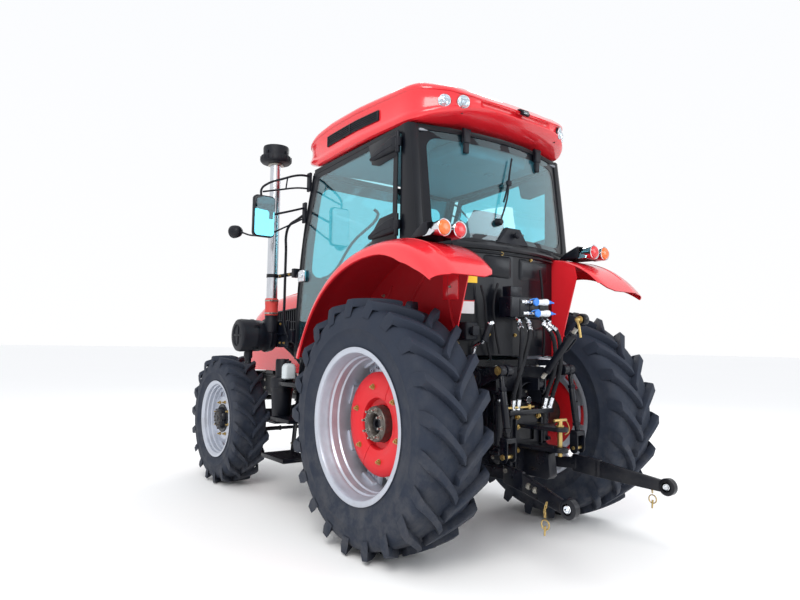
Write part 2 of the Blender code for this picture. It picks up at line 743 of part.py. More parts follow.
def interior():
    """Seat, console with the steering column, and the steering wheel."""
    z = FLOOR_Z + 0.04 + GAP
    base = [
        block((0.08, -0.19, z), (0.42, 0.19, z + 0.16), 0.02),
        block((0.12, -0.15, z + 0.15), (0.38, 0.15, 1.44)),
    ]
    part("seat_base", PLASTIC, base)
    part("seat_cushion", FABRIC, [block((0.02, -0.25, 1.44 + GAP), (0.50, 0.25, 1.57), 0.03)])
    back = [(-0.02, 1.575), (0.09, 1.575), (-0.02, 2.16), (-0.13, 2.16)]
    part("seat_back", FABRIC, [prism(back, "Y", -0.24, 0.24)])

    lean = Vector((-math.sin(COLUMN_LEAN), 0.0, math.cos(COLUMN_LEAN)))
    foot = WHEEL_CENTRE - lean * 0.52
    console = [
        block((1.00, -0.20, z), (1.165, 0.20, 1.66), 0.03),
        rod(foot, WHEEL_CENTRE - lean * 0.035, 0.05, 0.035),
        block((0.96, -0.12, 1.42), (1.10, 0.12, 1.64), 0.02),
    ]
    part("dashboard", PLASTIC, console)

    turn = lean.to_track_quat("Z", "Y").to_matrix().to_4x4()
    grip = []
    for k in range(6):
        angle = math.tau * k / 6
        grip.append((RIM_RADIUS + 0.015 * math.cos(angle), 0.015 * math.sin(angle)))
    wheel = [turned(grip, (0, 0, 0), "Z"), rod((0, 0, -0.034), (0, 0, 0.012), 0.045)]
    for k in range(3):
        angle = math.tau * k / 3 + 0.5
        tip = (RIM_RADIUS * math.cos(angle), RIM_RADIUS * math.sin(angle), 0)
        wheel.append(rod((0, 0, -0.005), tip, 0.010, sides=6))
    for shape in wheel:
        shape.data.transform(Matrix.Translation(WHEEL_CENTRE) @ turn)
    part("steering_wheel", PLASTIC, wheel, origin=tuple(WHEEL_CENTRE))


# Hood and what stands beside it


def hood():
    """The hood as one hollow lofted shell, open below and at the back, hinged at its rear top edge."""
    stations = [
        (1.320, 0.330, 0.96, 1.720),
        (2.000, 0.330, 0.96, 1.710),
        (2.550, 0.325, 0.96, 1.670),
        (2.950, 0.315, 0.95, 1.550),
        (3.120, 0.300, 0.94, 1.380),
        (3.190, 0.280, 0.94, 1.180),
    ]

    def skin(grown, lower):
        rings = []
        for x, half_width, low, high in stations:
            w, top = half_width - grown, high - grown
            half = [(w, low - lower), (w, top - 0.16), (w - 0.03, top - 0.06), (w - 0.12, top - 0.012)]
            here = x - 2 * grown if x > NOSE_X else x
            rings.append([(here, y, z) for y, z in half] + [(here, -y, z) for y, z in reversed(half)])
        return rings

    inner = skin(0.02, 0.1)
    inner[0] = [(x - 0.1, y, z) for x, y, z in inner[0]]
    part("hood", RED, [loft(skin(0.0, 0.0))], [loft(inner)], origin=(HOOD_AXIS[0], 0.0, HOOD_AXIS[1]))


def duct(side, entry, radius):
    """A duct from beside the hood down to the engine's flank; entry is its first two points."""
    points = entry + [(1.58, 0.42, 1.00), (1.58, 0.32, 0.84), (1.58, ENGINE_SIDE, 0.84)]
    return pipe([(x, side * y, z) for x, y, z in points], radius, 10)


def side_gear():
    """Steps, tanks, air cleaner, intake and exhaust stacks, mirrors and rear hydraulic block."""
    top = FLOOR_Z - GAP
    steps = [
        prism([(1.07, 0.30), (1.13, 0.30), (1.09, top), (1.03, top)], "Y", 0.64, 0.68),
        prism([(1.37, 0.30), (1.43, 0.30), (1.30, top), (1.24, top)], "Y", 0.64, 0.68),
        block((1.05, 0.645, 0.355), (1.43, 0.90, 0.385)),
        block((1.06, 0.645, 0.635), (1.37, 0.86, 0.665)),
        block((1.04, 0.645, 0.90), (1.33, 0.82, 0.925)),
    ]
    twins("cab_steps", BLACK, steps)

    part("fuel_tank", PLASTIC, [block((0.80, 0.20, 0.48), (1.22, 0.60, 0.98), 0.05)])
    part("battery_box", PLASTIC, [block((0.80, -0.60, 0.50), (1.22, -0.20, 0.92), 0.03)])

    x, z = 1.60, 1.28
    cleaner = [
        turned(
            [(0.0, 1.00), (0.10, 1.00), (0.125, 0.985), (0.125, 0.76), (0.07, 0.74), (0.0, 0.74)],
            (x, 0.0, z),
        ),
        rod((x, 0.95, z - 0.10), (x, 0.95, 1.06), 0.035, 0.022),
        duct(1, [(x, 0.80, z - 0.01), (x, 0.60, 1.22)], 0.040),
        rod((STACK_X, STACK_Y, z + 0.03), (STACK_X, STACK_Y, 1.44), 0.055),
        block((1.335, 0.707, 1.20), (1.59, 0.753, 1.36)),
    ]
    part("air_cleaner", PLASTIC, cleaner)
    cap = [
        (0.0, 2.60),
        (0.07, 2.60),
        (0.115, 2.63),
        (0.1225, 2.70),
        (0.1225, 2.72),
        (0.06, 2.76),
        (0.0, 2.76),
    ]
    stack = [
        rod((STACK_X, STACK_Y, 1.44 + GAP), (STACK_X, STACK_Y, 2.65), 0.045, sides=16),
        turned(cap, (STACK_X, STACK_Y, 0.0), "Z"),
    ]
    part("intake_stack", STEEL, stack)

    exhaust = [
        rod((STACK_X, -STACK_Y, 1.30), (STACK_X, -STACK_Y, 2.70), 0.040, sides=16),
        rod((STACK_X, -STACK_Y, 1.50), (STACK_X, -STACK_Y, 2.05), 0.085, sides=16),
        duct(-1, [(STACK_X, STACK_Y, 1.34), (1.54, 0.66, 1.20)], 0.036),
        block((1.335, -0.80, 1.36), (1.50, -0.76, 1.42)),
    ]
    part("exhaust_stack", STEEL, exhaust)

    upper = [(1.075, 0.69, 2.46), (1.13, 0.82, 2.50), (1.17, 1.00, 2.47), (1.20, 1.04, 2.30)]
    lower = [(1.205, 0.69, 2.05), (1.23, 0.86, 2.12), (1.22, 1.03, 2.16), (1.25, 1.15, 2.12)]
    mirror = [
        pipe(upper, 0.012),
        pipe(lower + [(1.33, 1.19, 2.06)], 0.012),
        block((1.165, 0.955, 2.00), (1.215, 1.135, 2.32), 0.015),
        rod((1.31, 1.19, 2.06), (1.37, 1.19, 2.06), 0.055, 0.04),
    ]
    behind = [(1.0, 1.6), (1.23, 1.6), (1.215, 2.02), (1.07, 2.6), (1.0, 2.6)]
    twins("mirror", PLASTIC, mirror, [prism(behind, "Y", 0.5, CAB_SIDE + GAP)])

    part("hydraulic_block", BLACK, [block((-0.47, -0.20, 1.40), (-0.3605, 0.20, 1.54), 0.01)])


rear_wheel()
front_wheel()
transaxle()
front_chassis()
front_axle()
rear_hitch()
linkage()
fenders()
cab()
roof()
doors()
interior()
hood()
side_gear()
bpy.data.collections.remove(shapes)
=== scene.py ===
import bpy
import math
from mathutils import Matrix, Vector


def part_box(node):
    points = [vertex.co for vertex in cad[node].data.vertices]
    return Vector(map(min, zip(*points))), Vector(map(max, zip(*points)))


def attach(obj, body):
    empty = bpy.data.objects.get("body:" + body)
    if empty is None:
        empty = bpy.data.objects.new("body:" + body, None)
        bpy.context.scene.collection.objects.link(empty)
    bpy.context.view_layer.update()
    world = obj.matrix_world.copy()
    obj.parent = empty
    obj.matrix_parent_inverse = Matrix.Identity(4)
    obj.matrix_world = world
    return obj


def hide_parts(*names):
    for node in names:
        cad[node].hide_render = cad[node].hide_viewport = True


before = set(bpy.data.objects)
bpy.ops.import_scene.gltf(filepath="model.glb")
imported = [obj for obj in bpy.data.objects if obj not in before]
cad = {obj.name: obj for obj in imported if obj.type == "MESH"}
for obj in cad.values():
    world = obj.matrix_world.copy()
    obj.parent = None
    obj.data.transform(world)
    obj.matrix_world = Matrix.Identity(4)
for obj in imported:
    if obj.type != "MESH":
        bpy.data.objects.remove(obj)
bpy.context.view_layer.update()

# Every place below is measured from the rear axle: x forward, y to the left, z up from the ground.
rearLow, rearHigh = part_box("tyre_rear_left")
frontLow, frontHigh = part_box("tyre_front_left")
rearAxle = (rearLow + rearHigh) / 2
frontAxle = (frontLow + frontHigh) / 2
rearAxle.z, frontAxle.z = rearHigh.z / 2, frontHigh.z / 2
wheelbase = frontAxle.x - rearAxle.x
sides = {"left": 1, "right": -1}


def at(x, y, z):
    return Vector((rearAxle.x + x, y, z))


# Small tools

def pickOnly(*objects):
    for other in bpy.context.selected_objects:
        other.select_set(False)
    for obj in objects:
        obj.select_set(True)
    bpy.context.view_layer.objects.active = objects[0]


def settle(obj):  # puts its place, turn and size into its mesh
    pickOnly(obj)
    bpy.ops.object.transform_apply(location=True, rotation=True, scale=True)
    return obj


def editing(obj, mode, chosen=None):  # enters edit mode with the faces, edges or points that chosen() accepts
    pickOnly(obj)
    bpy.ops.object.mode_set(mode="EDIT")
    bpy.ops.mesh.select_mode(type=mode)
    bpy.ops.mesh.select_all(action="SELECT" if chosen is None else "DESELECT")
    if chosen is not None:
        bpy.ops.object.mode_set(mode="OBJECT")
        group = {"FACE": obj.data.polygons, "EDGE": obj.data.edges, "VERT": obj.data.vertices}[mode]
        for item in group:
            item.select = chosen(item)
        bpy.ops.object.mode_set(mode="EDIT")


def leave():
    bpy.ops.object.mode_set(mode="OBJECT")


def useModifier(obj, kind, **settings):
    pickOnly(obj)
    made = obj.modifiers.new(kind.lower(), kind)
    for key, value in settings.items():
        setattr(made, key, value)
    bpy.ops.object.modifier_apply(modifier=made.name)
    return obj


def softenEdges(obj, width, segments=2, angle=40):
    return useModifier(
        obj, "BEVEL", width=width, segments=segments, limit_method="ANGLE",
        angle_limit=math.radians(angle), harden_normals=False, use_clamp_overlap=True,
    )


def addBox(low, high, bevel=0.0, segments=2):
    low, high = Vector(low), Vector(high)
    bpy.ops.mesh.primitive_cube_add(size=1, location=(low + high) / 2)
    obj = bpy.context.object
    obj.scale = [abs(d) for d in high - low]
    settle(obj)
    return softenEdges(obj, bevel, segments) if bevel else obj


def addDrum(start, end, radius, tip=None, around=24, bevel=0.0):
    start, end = Vector(start), Vector(end)
    along = end - start
    bpy.ops.mesh.primitive_cone_add(
        vertices=around, radius1=radius, radius2=radius if tip is None else tip, depth=along.length,
        location=(start + end) / 2, rotation=along.to_track_quat("Z", "Y").to_euler(),
    )
    obj = settle(bpy.context.object)
    return softenEdges(obj, bevel, 2, 50) if bevel else obj


def addBall(middle, radius, around=20, squash=(1, 1, 1)):
    bpy.ops.mesh.primitive_uv_sphere_add(segments=around, ring_count=around // 2, radius=radius, location=middle)
    bpy.context.object.scale = squash
    return settle(bpy.context.object)


def addTube(points, radius, around=10, closed=False, smooth=True):
    curve = bpy.data.curves.new("tube", "CURVE")
    curve.dimensions = "3D"
    curve.bevel_depth = radius
    curve.bevel_resolution = max(1, around // 4 - 1)
    curve.use_fill_caps = True
    spline = curve.splines.new("BEZIER" if smooth else "POLY")
    if smooth:
        spline.bezier_points.add(len(points) - 1)
        for knot, point in zip(spline.bezier_points, points):
            knot.co = point
            knot.handle_left_type = knot.handle_right_type = "AUTO"
        spline.resolution_u = 6
    else:
        spline.points.add(len(points) - 1)
        for knot, point in zip(spline.points, points):
            knot.co = (*point, 1)
    spline.use_cyclic_u = closed
    obj = bpy.data.objects.new("tube", curve)
    bpy.context.collection.objects.link(obj)
    pickOnly(obj)
    bpy.ops.object.convert(target="MESH")
    return bpy.context.object


def addLine(points, closed=False):  # a bare outline, to be spun or filled
    mesh = bpy.data.meshes.new("line")
    links = [(i, i + 1) for i in range(len(points) - 1)]
    if closed:
        links.append((len(points) - 1, 0))
    mesh.from_pydata([tuple(p) for p in points], links, [])
    obj = bpy.data.objects.new("line", mesh)
    bpy.context.collection.objects.link(obj)
    return obj


axes = {"X": Vector((1, 0, 0)), "Y": Vector((0, 1, 0)), "Z": Vector((0, 0, 1))}


def addSpin(profile, middle, axis="Y", steps=64, closed=False):  # profile is (radius, along) points
    middle = Vector(middle)
    out = axes["Z" if axis != "Z" else "X"]
    obj = addLine([middle + out * r + axes[axis] * a for r, a in profile], closed)
    editing(obj, "VERT")
    bpy.ops.mesh.spin(steps=steps, angle=math.tau, center=middle, axis=axes[axis])
    bpy.ops.mesh.select_all(action="SELECT")
    bpy.ops.mesh.remove_doubles(threshold=0.00002)
    bpy.ops.mesh.normals_make_consistent(inside=False)
    leave()
    return obj


def addPlate(outline, axis, low, high, bevel=0.0, segments=2):  # an outline pushed along an axis
    spot = {"X": lambda a, b: (low, a, b), "Y": lambda a, b: (a, low, b), "Z": lambda a, b: (a, b, low)}[axis]
    obj = addLine([spot(a, b) for a, b in outline], True)
    editing(obj, "VERT")
    bpy.ops.mesh.edge_face_add()
    bpy.ops.mesh.extrude_region_move(TRANSFORM_OT_translate={"value": axes[axis] * (high - low)})
    bpy.ops.mesh.select_all(action="SELECT")
    bpy.ops.mesh.normals_make_consistent(inside=False)
    leave()
    return softenEdges(obj, bevel, segments) if bevel else obj


def merge(pieces):
    pieces = [piece for piece in pieces if piece is not None]
    pickOnly(*pieces)
    if len(pieces) > 1:
        bpy.ops.object.join()
    return bpy.context.view_layer.objects.active


def copyOf(obj, change=None):
    twin = obj.copy()
    twin.data = obj.data.copy()
    bpy.context.collection.objects.link(twin)
    if change is not None:
        twin.data.transform(change)
        if change.determinant() < 0:
            twin.data.flip_normals()
    return twin


def turnAbout(middle, axis, angle):
    middle = Vector(middle)
    return Matrix.Translation(middle) @ Matrix.Rotation(angle, 4, axes[axis]) @ Matrix.Translation(-middle)


mirrorY = Matrix.Diagonal((1, -1, 1, 1))


def cutAway(obj, cutters):
    for cutter in cutters:
        useModifier(obj, "BOOLEAN", operation="DIFFERENCE", object=cutter, solver="EXACT")
        bpy.data.objects.remove(cutter)
    return obj


def ready(obj, name, finish, body="chassis", smooth=35, stands=()):
    """names a finished piece, gives it its finish and says what it rides on"""
    obj.name = name
    obj.data.name = name
    obj.data.materials.clear()
    obj.data.materials.append(finish)
    pickOnly(obj)
    if smooth:
        bpy.ops.object.shade_smooth_by_angle(angle=math.radians(smooth))
    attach(obj, body)
    if stands:
        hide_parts(*stands)
    return obj


def addBolt(point, direction, size=0.012, stud=0.0):  # a hexagon head on its washer, with a stud end if asked
    point, direction = Vector(point), Vector(direction).normalized()
    washer = addDrum(point, point + direction * size * 0.22, size * 1.15, around=16)
    head = addDrum(point + direction * size * 0.2, point + direction * size * 0.95, size * 0.92, around=6, bevel=size * 0.07)
    parts = [washer, head]
    if stud:
        parts.append(addDrum(point + direction * size * 0.9, point + direction * (size + stud), size * 0.5, around=12, bevel=size * 0.1))
    return merge(parts)


def boltsAt(points, direction, size=0.012, stud=0.0):  # the same bolt at many points
    first = addBolt(points[0], direction, size, stud)
    origin = Vector(points[0])
    rest = [copyOf(first, Matrix.Translation(Vector(p) - origin)) for p in points[1:]]
    return merge([first] + rest)


def ringOf(middle, axis, radius, count, phase=0.0):
    middle = Vector(middle)
    across, up = {"X": ("Y", "Z"), "Y": ("X", "Z"), "Z": ("X", "Y")}[axis]
    return [
        middle + (axes[across] * math.cos(a) + axes[up] * math.sin(a)) * radius
        for a in (phase + math.tau * i / count for i in range(count))
    ]


# Finishes

def rgb(code):  # an sRGB hex colour as linear light
    def channel(pair):
        c = int(pair, 16) / 255
        return c / 12.92 if c <= 0.04045 else ((c + 0.055) / 1.055) ** 2.4
    return (channel(code[0:2]), channel(code[2:4]), channel(code[4:6]), 1.0)


def addNode(tree, kind, inputs=None, **settings):
    made = tree.nodes.new(kind)
    for key, value in settings.items():
        setattr(made, key, value)
    for key, value in (inputs or {}).items():
        if isinstance(value, bpy.types.NodeSocket):
            tree.links.new(value, made.inputs[key])
        else:
            made.inputs[key].default_value = value
    return made


def makeFinish(name, colours, roughness, metallic=0.0, grainMm=120.0, bumpMm=0.0, bumpGrainMm=3.0, coat=0.0, dust=0.0, ior=1.5, streak=None, sheen=0.0):
    """colours are two hex tones that drift over grainMm; roughness is a low and a high;
    bumpMm is how deep the surface grain is and bumpGrainMm how wide; dust is how much pale dirt lies low down"""
    finish = bpy.data.materials.new(name)
    finish.use_nodes = True
    tree = finish.node_tree
    shader = tree.nodes["Principled BSDF"]
    place = addNode(tree, "ShaderNodeTexCoord").outputs["Object"]
    if streak:  # brushed or drawn metal: the pattern is squeezed across its direction
        place = addNode(tree, "ShaderNodeMapping", {"Vector": place, "Scale": streak}).outputs["Vector"]
    drift = addNode(tree, "ShaderNodeTexNoise", {"Vector": place, "Scale": 1000 / grainMm, "Detail": 5.0, "Roughness": 0.6})
    tone = addNode(tree, "ShaderNodeMix", {0: drift.outputs["Fac"]}, data_type="RGBA")
    # the float sockets of Mix come first, so the colour ones are set by their index
    tone.inputs[6].default_value = rgb(colours[0])
    tone.inputs[7].default_value = rgb(colours[1])
    colour = tone.outputs[2]
    fine = addNode(tree, "ShaderNodeTexNoise", {"Vector": place, "Scale": 1000 / max(bumpGrainMm, 0.5), "Detail": 3.0})
    polish = addNode(tree, "ShaderNodeMapRange", {"Value": drift.outputs["Fac"], "From Min": 0.35, "From Max": 0.65, "To Min": roughness[0], "To Max": roughness[1]})
    rough = polish.outputs["Result"]
    if dust:
        height = addNode(tree, "ShaderNodeSeparateXYZ", {"Vector": addNode(tree, "ShaderNodeTexCoord").outputs["Object"]})
        low = addNode(tree, "ShaderNodeMapRange", {"Value": height.outputs["Z"], "From Min": 0.0, "From Max": 1.3, "To Min": dust, "To Max": 0.0})
        patch = addNode(tree, "ShaderNodeTexNoise", {"Vector": place, "Scale": 9.0, "Detail": 8.0, "Roughness": 0.7})
        edge = addNode(tree, "ShaderNodeMapRange", {"Value": patch.outputs["Fac"], "From Min": 0.42, "From Max": 0.62})
        much = addNode(tree, "ShaderNodeMath", {0: low.outputs["Result"], 1: edge.outputs["Result"]}, operation="MULTIPLY")
        dirty = addNode(tree, "ShaderNodeMix", data_type="RGBA")
        tree.links.new(much.outputs["Value"], dirty.inputs[0])
        tree.links.new(colour, dirty.inputs[6])
        dirty.inputs[7].default_value = rgb("8E8A84")
        colour = dirty.outputs[2]
    tree.links.new(colour, shader.inputs["Base Color"])
    tree.links.new(rough, shader.inputs["Roughness"])
    shader.inputs["Metallic"].default_value = metallic
    if not metallic:
        shader.inputs["IOR"].default_value = ior
    if coat:
        shader.inputs["Coat Weight"].default_value = coat
        shader.inputs["Coat Roughness"].default_value = 0.06
    if sheen:
        shader.inputs["Sheen Weight"].default_value = sheen
    if bumpMm:
        bump = addNode(tree, "ShaderNodeBump", {"Height": fine.outputs["Fac"], "Strength": 0.6, "Distance": bumpMm / 1000})
        tree.links.new(bump.outputs["Normal"], shader.inputs["Normal"])
    return finish


# Red enamel over pressed steel: a deep even gloss with a slight orange peel and clear lacquer
redEnamel = makeFinish("red_enamel", ("D91F2B", "E02A33"), (0.16, 0.26), grainMm=400, bumpMm=0.08, bumpGrainMm=4, coat=0.55)
# Red paint on a casting: the same red over a coarser sand-cast skin
redCasting = makeFinish("red_cast_paint", ("D3141F", "DC1E28"), (0.34, 0.46), grainMm=90, bumpMm=0.4, bumpGrainMm=3, coat=0.05, dust=0.02, ior=1.4)
# Black chassis enamel: sprayed over castings, satin, with dust settled low down
blackEnamel = makeFinish("black_chassis_enamel", ("04070F", "0A0E1A"), (0.26, 0.42), grainMm=60, bumpMm=0.5, bumpGrainMm=5, coat=0.05, dust=0.05, ior=1.36)
# Black powder coat on the cab's steel: smoother and a little glossier
blackPowder = makeFinish("black_powder_coat", ("05080F", "0A0E18"), (0.28, 0.40), grainMm=150, bumpMm=0.10, bumpGrainMm=1.5, coat=0.05, ior=1.36)
# Silver wheel paint: aluminium flake in lacquer, which clouds slightly and catches dust
silverPaint = makeFinish("silver_wheel_paint", ("AEB4C0", "C6CBD6"), (0.30, 0.42), metallic=0.55, grainMm=70, bumpMm=0.12, bumpGrainMm=2, dust=0.25)
# Natural and carbon-black rubber: blue-grey bloom on a dead matt skin
tyreRubber = makeFinish("tyre_rubber", ("1C2230", "29313F"), (0.62, 0.82), grainMm=140, bumpMm=0.7, bumpGrainMm=6, dust=0.14, ior=1.36)
# EPDM seals and boots: plain soft black rubber
softRubber = makeFinish("seal_rubber", ("0A0C12", "12151C"), (0.55, 0.7), grainMm=30, bumpMm=0.1, bumpGrainMm=1, ior=1.38)
# Polypropylene mouldings: spark-eroded grain that scatters the light
blackPlastic = makeFinish("moulded_polypropylene", ("070A12", "0F131E"), (0.42, 0.58), grainMm=80, bumpMm=0.18, bumpGrainMm=1.2, ior=1.36)
# Polished stainless tube, drawn lengthwise
stainless = makeFinish("stainless_tube", ("B9BDC4", "DADDE2"), (0.16, 0.30), metallic=1.0, grainMm=60, streak=(9, 9, 0.6), bumpMm=0.03, bumpGrainMm=2)
# Bright chromium plate
chrome = makeFinish("chrome_plate", ("D6DAE0", "E6E9ED"), (0.05, 0.12), metallic=1.0, grainMm=90)
# Yellow zinc passivation on bolts and chains: brassy, mottled
yellowZinc = makeFinish("yellow_zinc_plate", ("A88848", "CDB67C"), (0.28, 0.45), metallic=0.9, grainMm=12, bumpMm=0.05)
# Clear zinc plate on studs and nuts: grey, dulled by the weather
clearZinc = makeFinish("clear_zinc_plate", ("8E8B84", "B9B6AE"), (0.30, 0.5), metallic=0.9, grainMm=14, bumpMm=0.1)
# Grey iron left bare on the machined hub, with a brown bloom
greyIron = makeFinish("machined_grey_iron", ("4E4B4A", "79716A"), (0.35, 0.55), metallic=0.8, grainMm=25, bumpMm=0.15)
# Nylon caps in blue
bluePlastic = makeFinish("blue_nylon", ("1E6FD0", "2E86E6"), (0.25, 0.4), grainMm=30, bumpMm=0.05)
whitePlastic = makeFinish("white_nylon", ("D5DAE0", "EDF0F3"), (0.3, 0.45), grainMm=40, bumpMm=0.05)
# Vinyl labels, left blank
yellowLabel = makeFinish("yellow_vinyl_label", ("E9B812", "F2C72A"), (0.3, 0.4), grainMm=60, bumpMm=0.02)
whiteLabel = makeFinish("white_vinyl_label", ("DCDDE0", "F2F2F4"), (0.3, 0.4), grainMm=60, bumpMm=0.02)
# Acrylic lenses with moulded pips
amberLens = makeFinish("amber_acrylic", ("E2611E", "F07A2C"), (0.08, 0.16), grainMm=20, bumpMm=0.8, bumpGrainMm=5, coat=0.6)
redLens = makeFinish("red_acrylic", ("C4101C", "DF2A30"), (0.08, 0.16), grainMm=20, bumpMm=0.8, bumpGrainMm=5, coat=0.6)
# Needle-felt and vinyl inside the cab
greyTrim = makeFinish("grey_cab_trim", ("7C828B", "959BA3"), (0.7, 0.85), grainMm=60, bumpMm=0.3, bumpGrainMm=1.2)


def makeGlass(name, tint, clear, tintWeight):  # a pane: part see-through, part sky reflection
    finish = bpy.data.materials.new(name)
    finish.use_nodes = True
    tree = finish.node_tree
    tree.nodes.remove(tree.nodes["Principled BSDF"])
    through = addNode(tree, "ShaderNodeBsdfTransparent", {"Color": rgb(tint)})
    body = addNode(tree, "ShaderNodeBsdfDiffuse", {"Color": rgb(clear)})
    film = addNode(tree, "ShaderNodeMixShader", {0: tintWeight, 1: through.outputs[0], 2: body.outputs[0]})
    gloss = addNode(tree, "ShaderNodeBsdfGlossy", {"Color": (0.95, 0.98, 1.0, 1.0), "Roughness": 0.02})
    smear = addNode(tree, "ShaderNodeTexNoise", {"Vector": addNode(tree, "ShaderNodeTexCoord").outputs["Object"], "Scale": 4.0, "Detail": 3.0})
    bump = addNode(tree, "ShaderNodeBump", {"Height": smear.outputs["Fac"], "Strength": 0.1, "Distance": 0.002})
    tree.links.new(bump.outputs["Normal"], gloss.inputs["Normal"])
    slant = addNode(tree, "ShaderNodeLayerWeight", {"Blend": 0.22})
    edge = addNode(tree, "ShaderNodeMath", {0: slant.outputs["Facing"], 1: 0.42, 2: 0.035}, operation="MULTIPLY_ADD")
    whole = addNode(tree, "ShaderNodeMixShader", {0: edge.outputs[0], 1: film.outputs[0], 2: gloss.outputs[0]})
    tree.links.new(whole.outputs[0], tree.nodes["Material Output"].inputs["Surface"])
    return finish


# Toughened glass with a blue-green body tint
cabGlass = makeGlass("tinted_toughened_glass", "CDF6FB", "4F8A9C", 0.035)
lampGlass = makeGlass("lamp_cover_glass", "F4F8FA", "DDE8EE", 0.12)
print("finishes made")

# Camera, floor and light

viewFrom = {"place": (-3.12, 3.009, 1.23), "yaw": -36.99, "pitch": 4.016, "roll": 0.96, "lens": 28.35}


def addCamera():
    yaw, pitch, roll = (math.radians(viewFrom[key]) for key in ("yaw", "pitch", "roll"))
    ahead = Vector((math.cos(yaw) * math.cos(pitch), math.sin(yaw) * math.cos(pitch), math.sin(pitch)))
    right = ahead.cross(axes["Z"]).normalized()
    up = right.cross(ahead)
    right, up = right * math.cos(roll) + up * math.sin(roll), up * math.cos(roll) - right * math.sin(roll)
    data = bpy.data.cameras.new("rear_quarter_view")
    data.lens = viewFrom["lens"]
    data.sensor_width = 36
    camera = bpy.data.objects.new("rear_quarter_view", data)
    turn = Matrix((right, up, -ahead)).transposed().to_4x4()
    camera.matrix_world = Matrix.Translation(at(*viewFrom["place"])) @ turn
    bpy.context.collection.objects.link(camera)
    bpy.context.scene.camera = camera


def addSoftLight(name, place, target, size, power, colour):
    data = bpy.data.lights.new(name, "AREA")
    data.shape = "RECTANGLE"
    data.size, data.size_y = size
    data.energy = power
    data.color = colour
    light = bpy.data.objects.new(name, data)
    light.location = place
    light.rotation_euler = (Vector(target) - Vector(place)).to_track_quat("-Z", "Y").to_euler()
    bpy.context.collection.objects.link(light)


def addStudio():
    bpy.ops.mesh.primitive_grid_add(x_subdivisions=8, y_subdivisions=8, size=240, location=(0, 0, 0))
    floor = bpy.context.object
    floor.name = "studio_floor"
    paint = makeFinish("floor_paint", ("FAFAFA", "FCFCFC"), (0.9, 0.98), grainMm=3000)
    floor.data.materials.append(paint)
    world = bpy.data.worlds.new("soft_sky")
    world.use_nodes = True
    tree = world.node_tree
    sky = tree.nodes["Background"]
    way = addNode(tree, "ShaderNodeTexCoord").outputs["Generated"]
    height = addNode(tree, "ShaderNodeSeparateXYZ", {"Vector": way})
    ramp = addNode(tree, "ShaderNodeMapRange", {"Value": height.outputs["Z"], "From Min": 0.0, "From Max": 0.7})
    tones = addNode(tree, "ShaderNodeMix", data_type="RGBA")
    tree.links.new(ramp.outputs["Result"], tones.inputs[0])
    tones.inputs[6].default_value = rgb("FDFDFE")
    tones.inputs[7].default_value = rgb("F7F9FC")
    tree.links.new(tones.outputs[2], sky.inputs["Color"])
    sky.inputs["Strength"].default_value = 1.02
    bpy.context.scene.world = world
    addSoftLight("key", (-5.0, 5.5, 6.5), (-0.3, 0.3, 1.0), (4.0, 4.0), 380, (1.0, 0.98, 0.95))
    addSoftLight("fill", (-7.0, -4.0, 3.5), (-0.5, 0.0, 1.0), (4.0, 3.0), 110, (0.88, 0.94, 1.0))
    addSoftLight("rim", (5.0, -5.0, 6.0), (0.5, 0.0, 1.4), (3.0, 3.0), 160, (1.0, 1.0, 1.0))


addCamera()
addStudio()
bpy.context.scene.view_settings.view_transform = "Standard"
print("camera and studio ready")

# Wheels

def tyreLug(tyre, hand):  # one tread bar, its rows running from the middle of the tread to the shoulder
    reach = tyre["halfWidth"] * 0.985
    rows = []
    for i in range(tyre["lugRows"]):
        t = i / (tyre["lugRows"] - 1)
        y = -tyre["overlap"] + (reach + tyre["overlap"]) * min(t * 1.12, 1.0)
        lean = tyre["sweep"] * (t ** 0.82)
        top = tyre["lugRadius"] - tyre["crownDrop"] * (y / reach) ** 2
        foot = tyre["lugRadius"] - tyre["lugHeight"] - 0.012
        if t > 0.88:  # the end runs down over the shoulder
            top -= tyre["lugHeight"] * 1.15 * (t - 0.88) / 0.12
            foot -= tyre["lugHeight"] * 1.3
        wide = tyre["lugWidth"] * (0.5 + 0.10 * t)
        rows.append((y, lean, top, foot, wide))
    return rows


def addTread(tyre, axle, side):
    points, faces = [], []
    for hand in (1, -1):
        for k in range(tyre["lugs"]):
            start = math.tau * (k + (0.5 if hand < 0 else 0.0)) / tyre["lugs"]
            first = len(points)
            rows = tyreLug(tyre, hand)
            for y, lean, top, foot, wide in rows:
                for radius, over in ((foot, wide * 1.45), (top, wide), (top, -wide), (foot, -wide * 1.45)):
                    a = start - lean + over / tyre["lugRadius"]
                    points.append((math.cos(a) * radius, hand * y, math.sin(a) * radius))
            for i in range(len(rows) - 1):
                a, b = first + 4 * i, first + 4 * (i + 1)
                faces += [(a, a + 1, b + 1, b), (a + 1, a + 2, b + 2, b + 1), (a + 2, a + 3, b + 3, b + 2), (a + 3, a, b, b + 3)]
            last = first + 4 * (len(rows) - 1)
            faces += [(first, first + 3, first + 2, first + 1), (last, last + 1, last + 2, last + 3)]
    mesh = bpy.data.meshes.new("tread")
    mesh.from_pydata(points, [], faces)
    tread = bpy.data.objects.new("tread", mesh)
    bpy.context.collection.objects.link(tread)
    editing(tread, "FACE")
    bpy.ops.mesh.normals_make_consistent(inside=False)
    leave()
    softenEdges(tread, tyre["lugRound"], 2, 30)
    tread.data.transform(Matrix.Translation(axle))
    return tread


def addTyre(name, tyre, axle, side, body):
    half = tyre["carcass"]
    profile = half + [(r, -y) for r, y in reversed(half[:-1])]
    carcass = addSpin(profile, axle, "Y", 96, closed=True)
    whole = merge([carcass, addTread(tyre, axle, side)])
    return ready(whole, name + "_treaded", tyreRubber, body, 40, stands=[name])


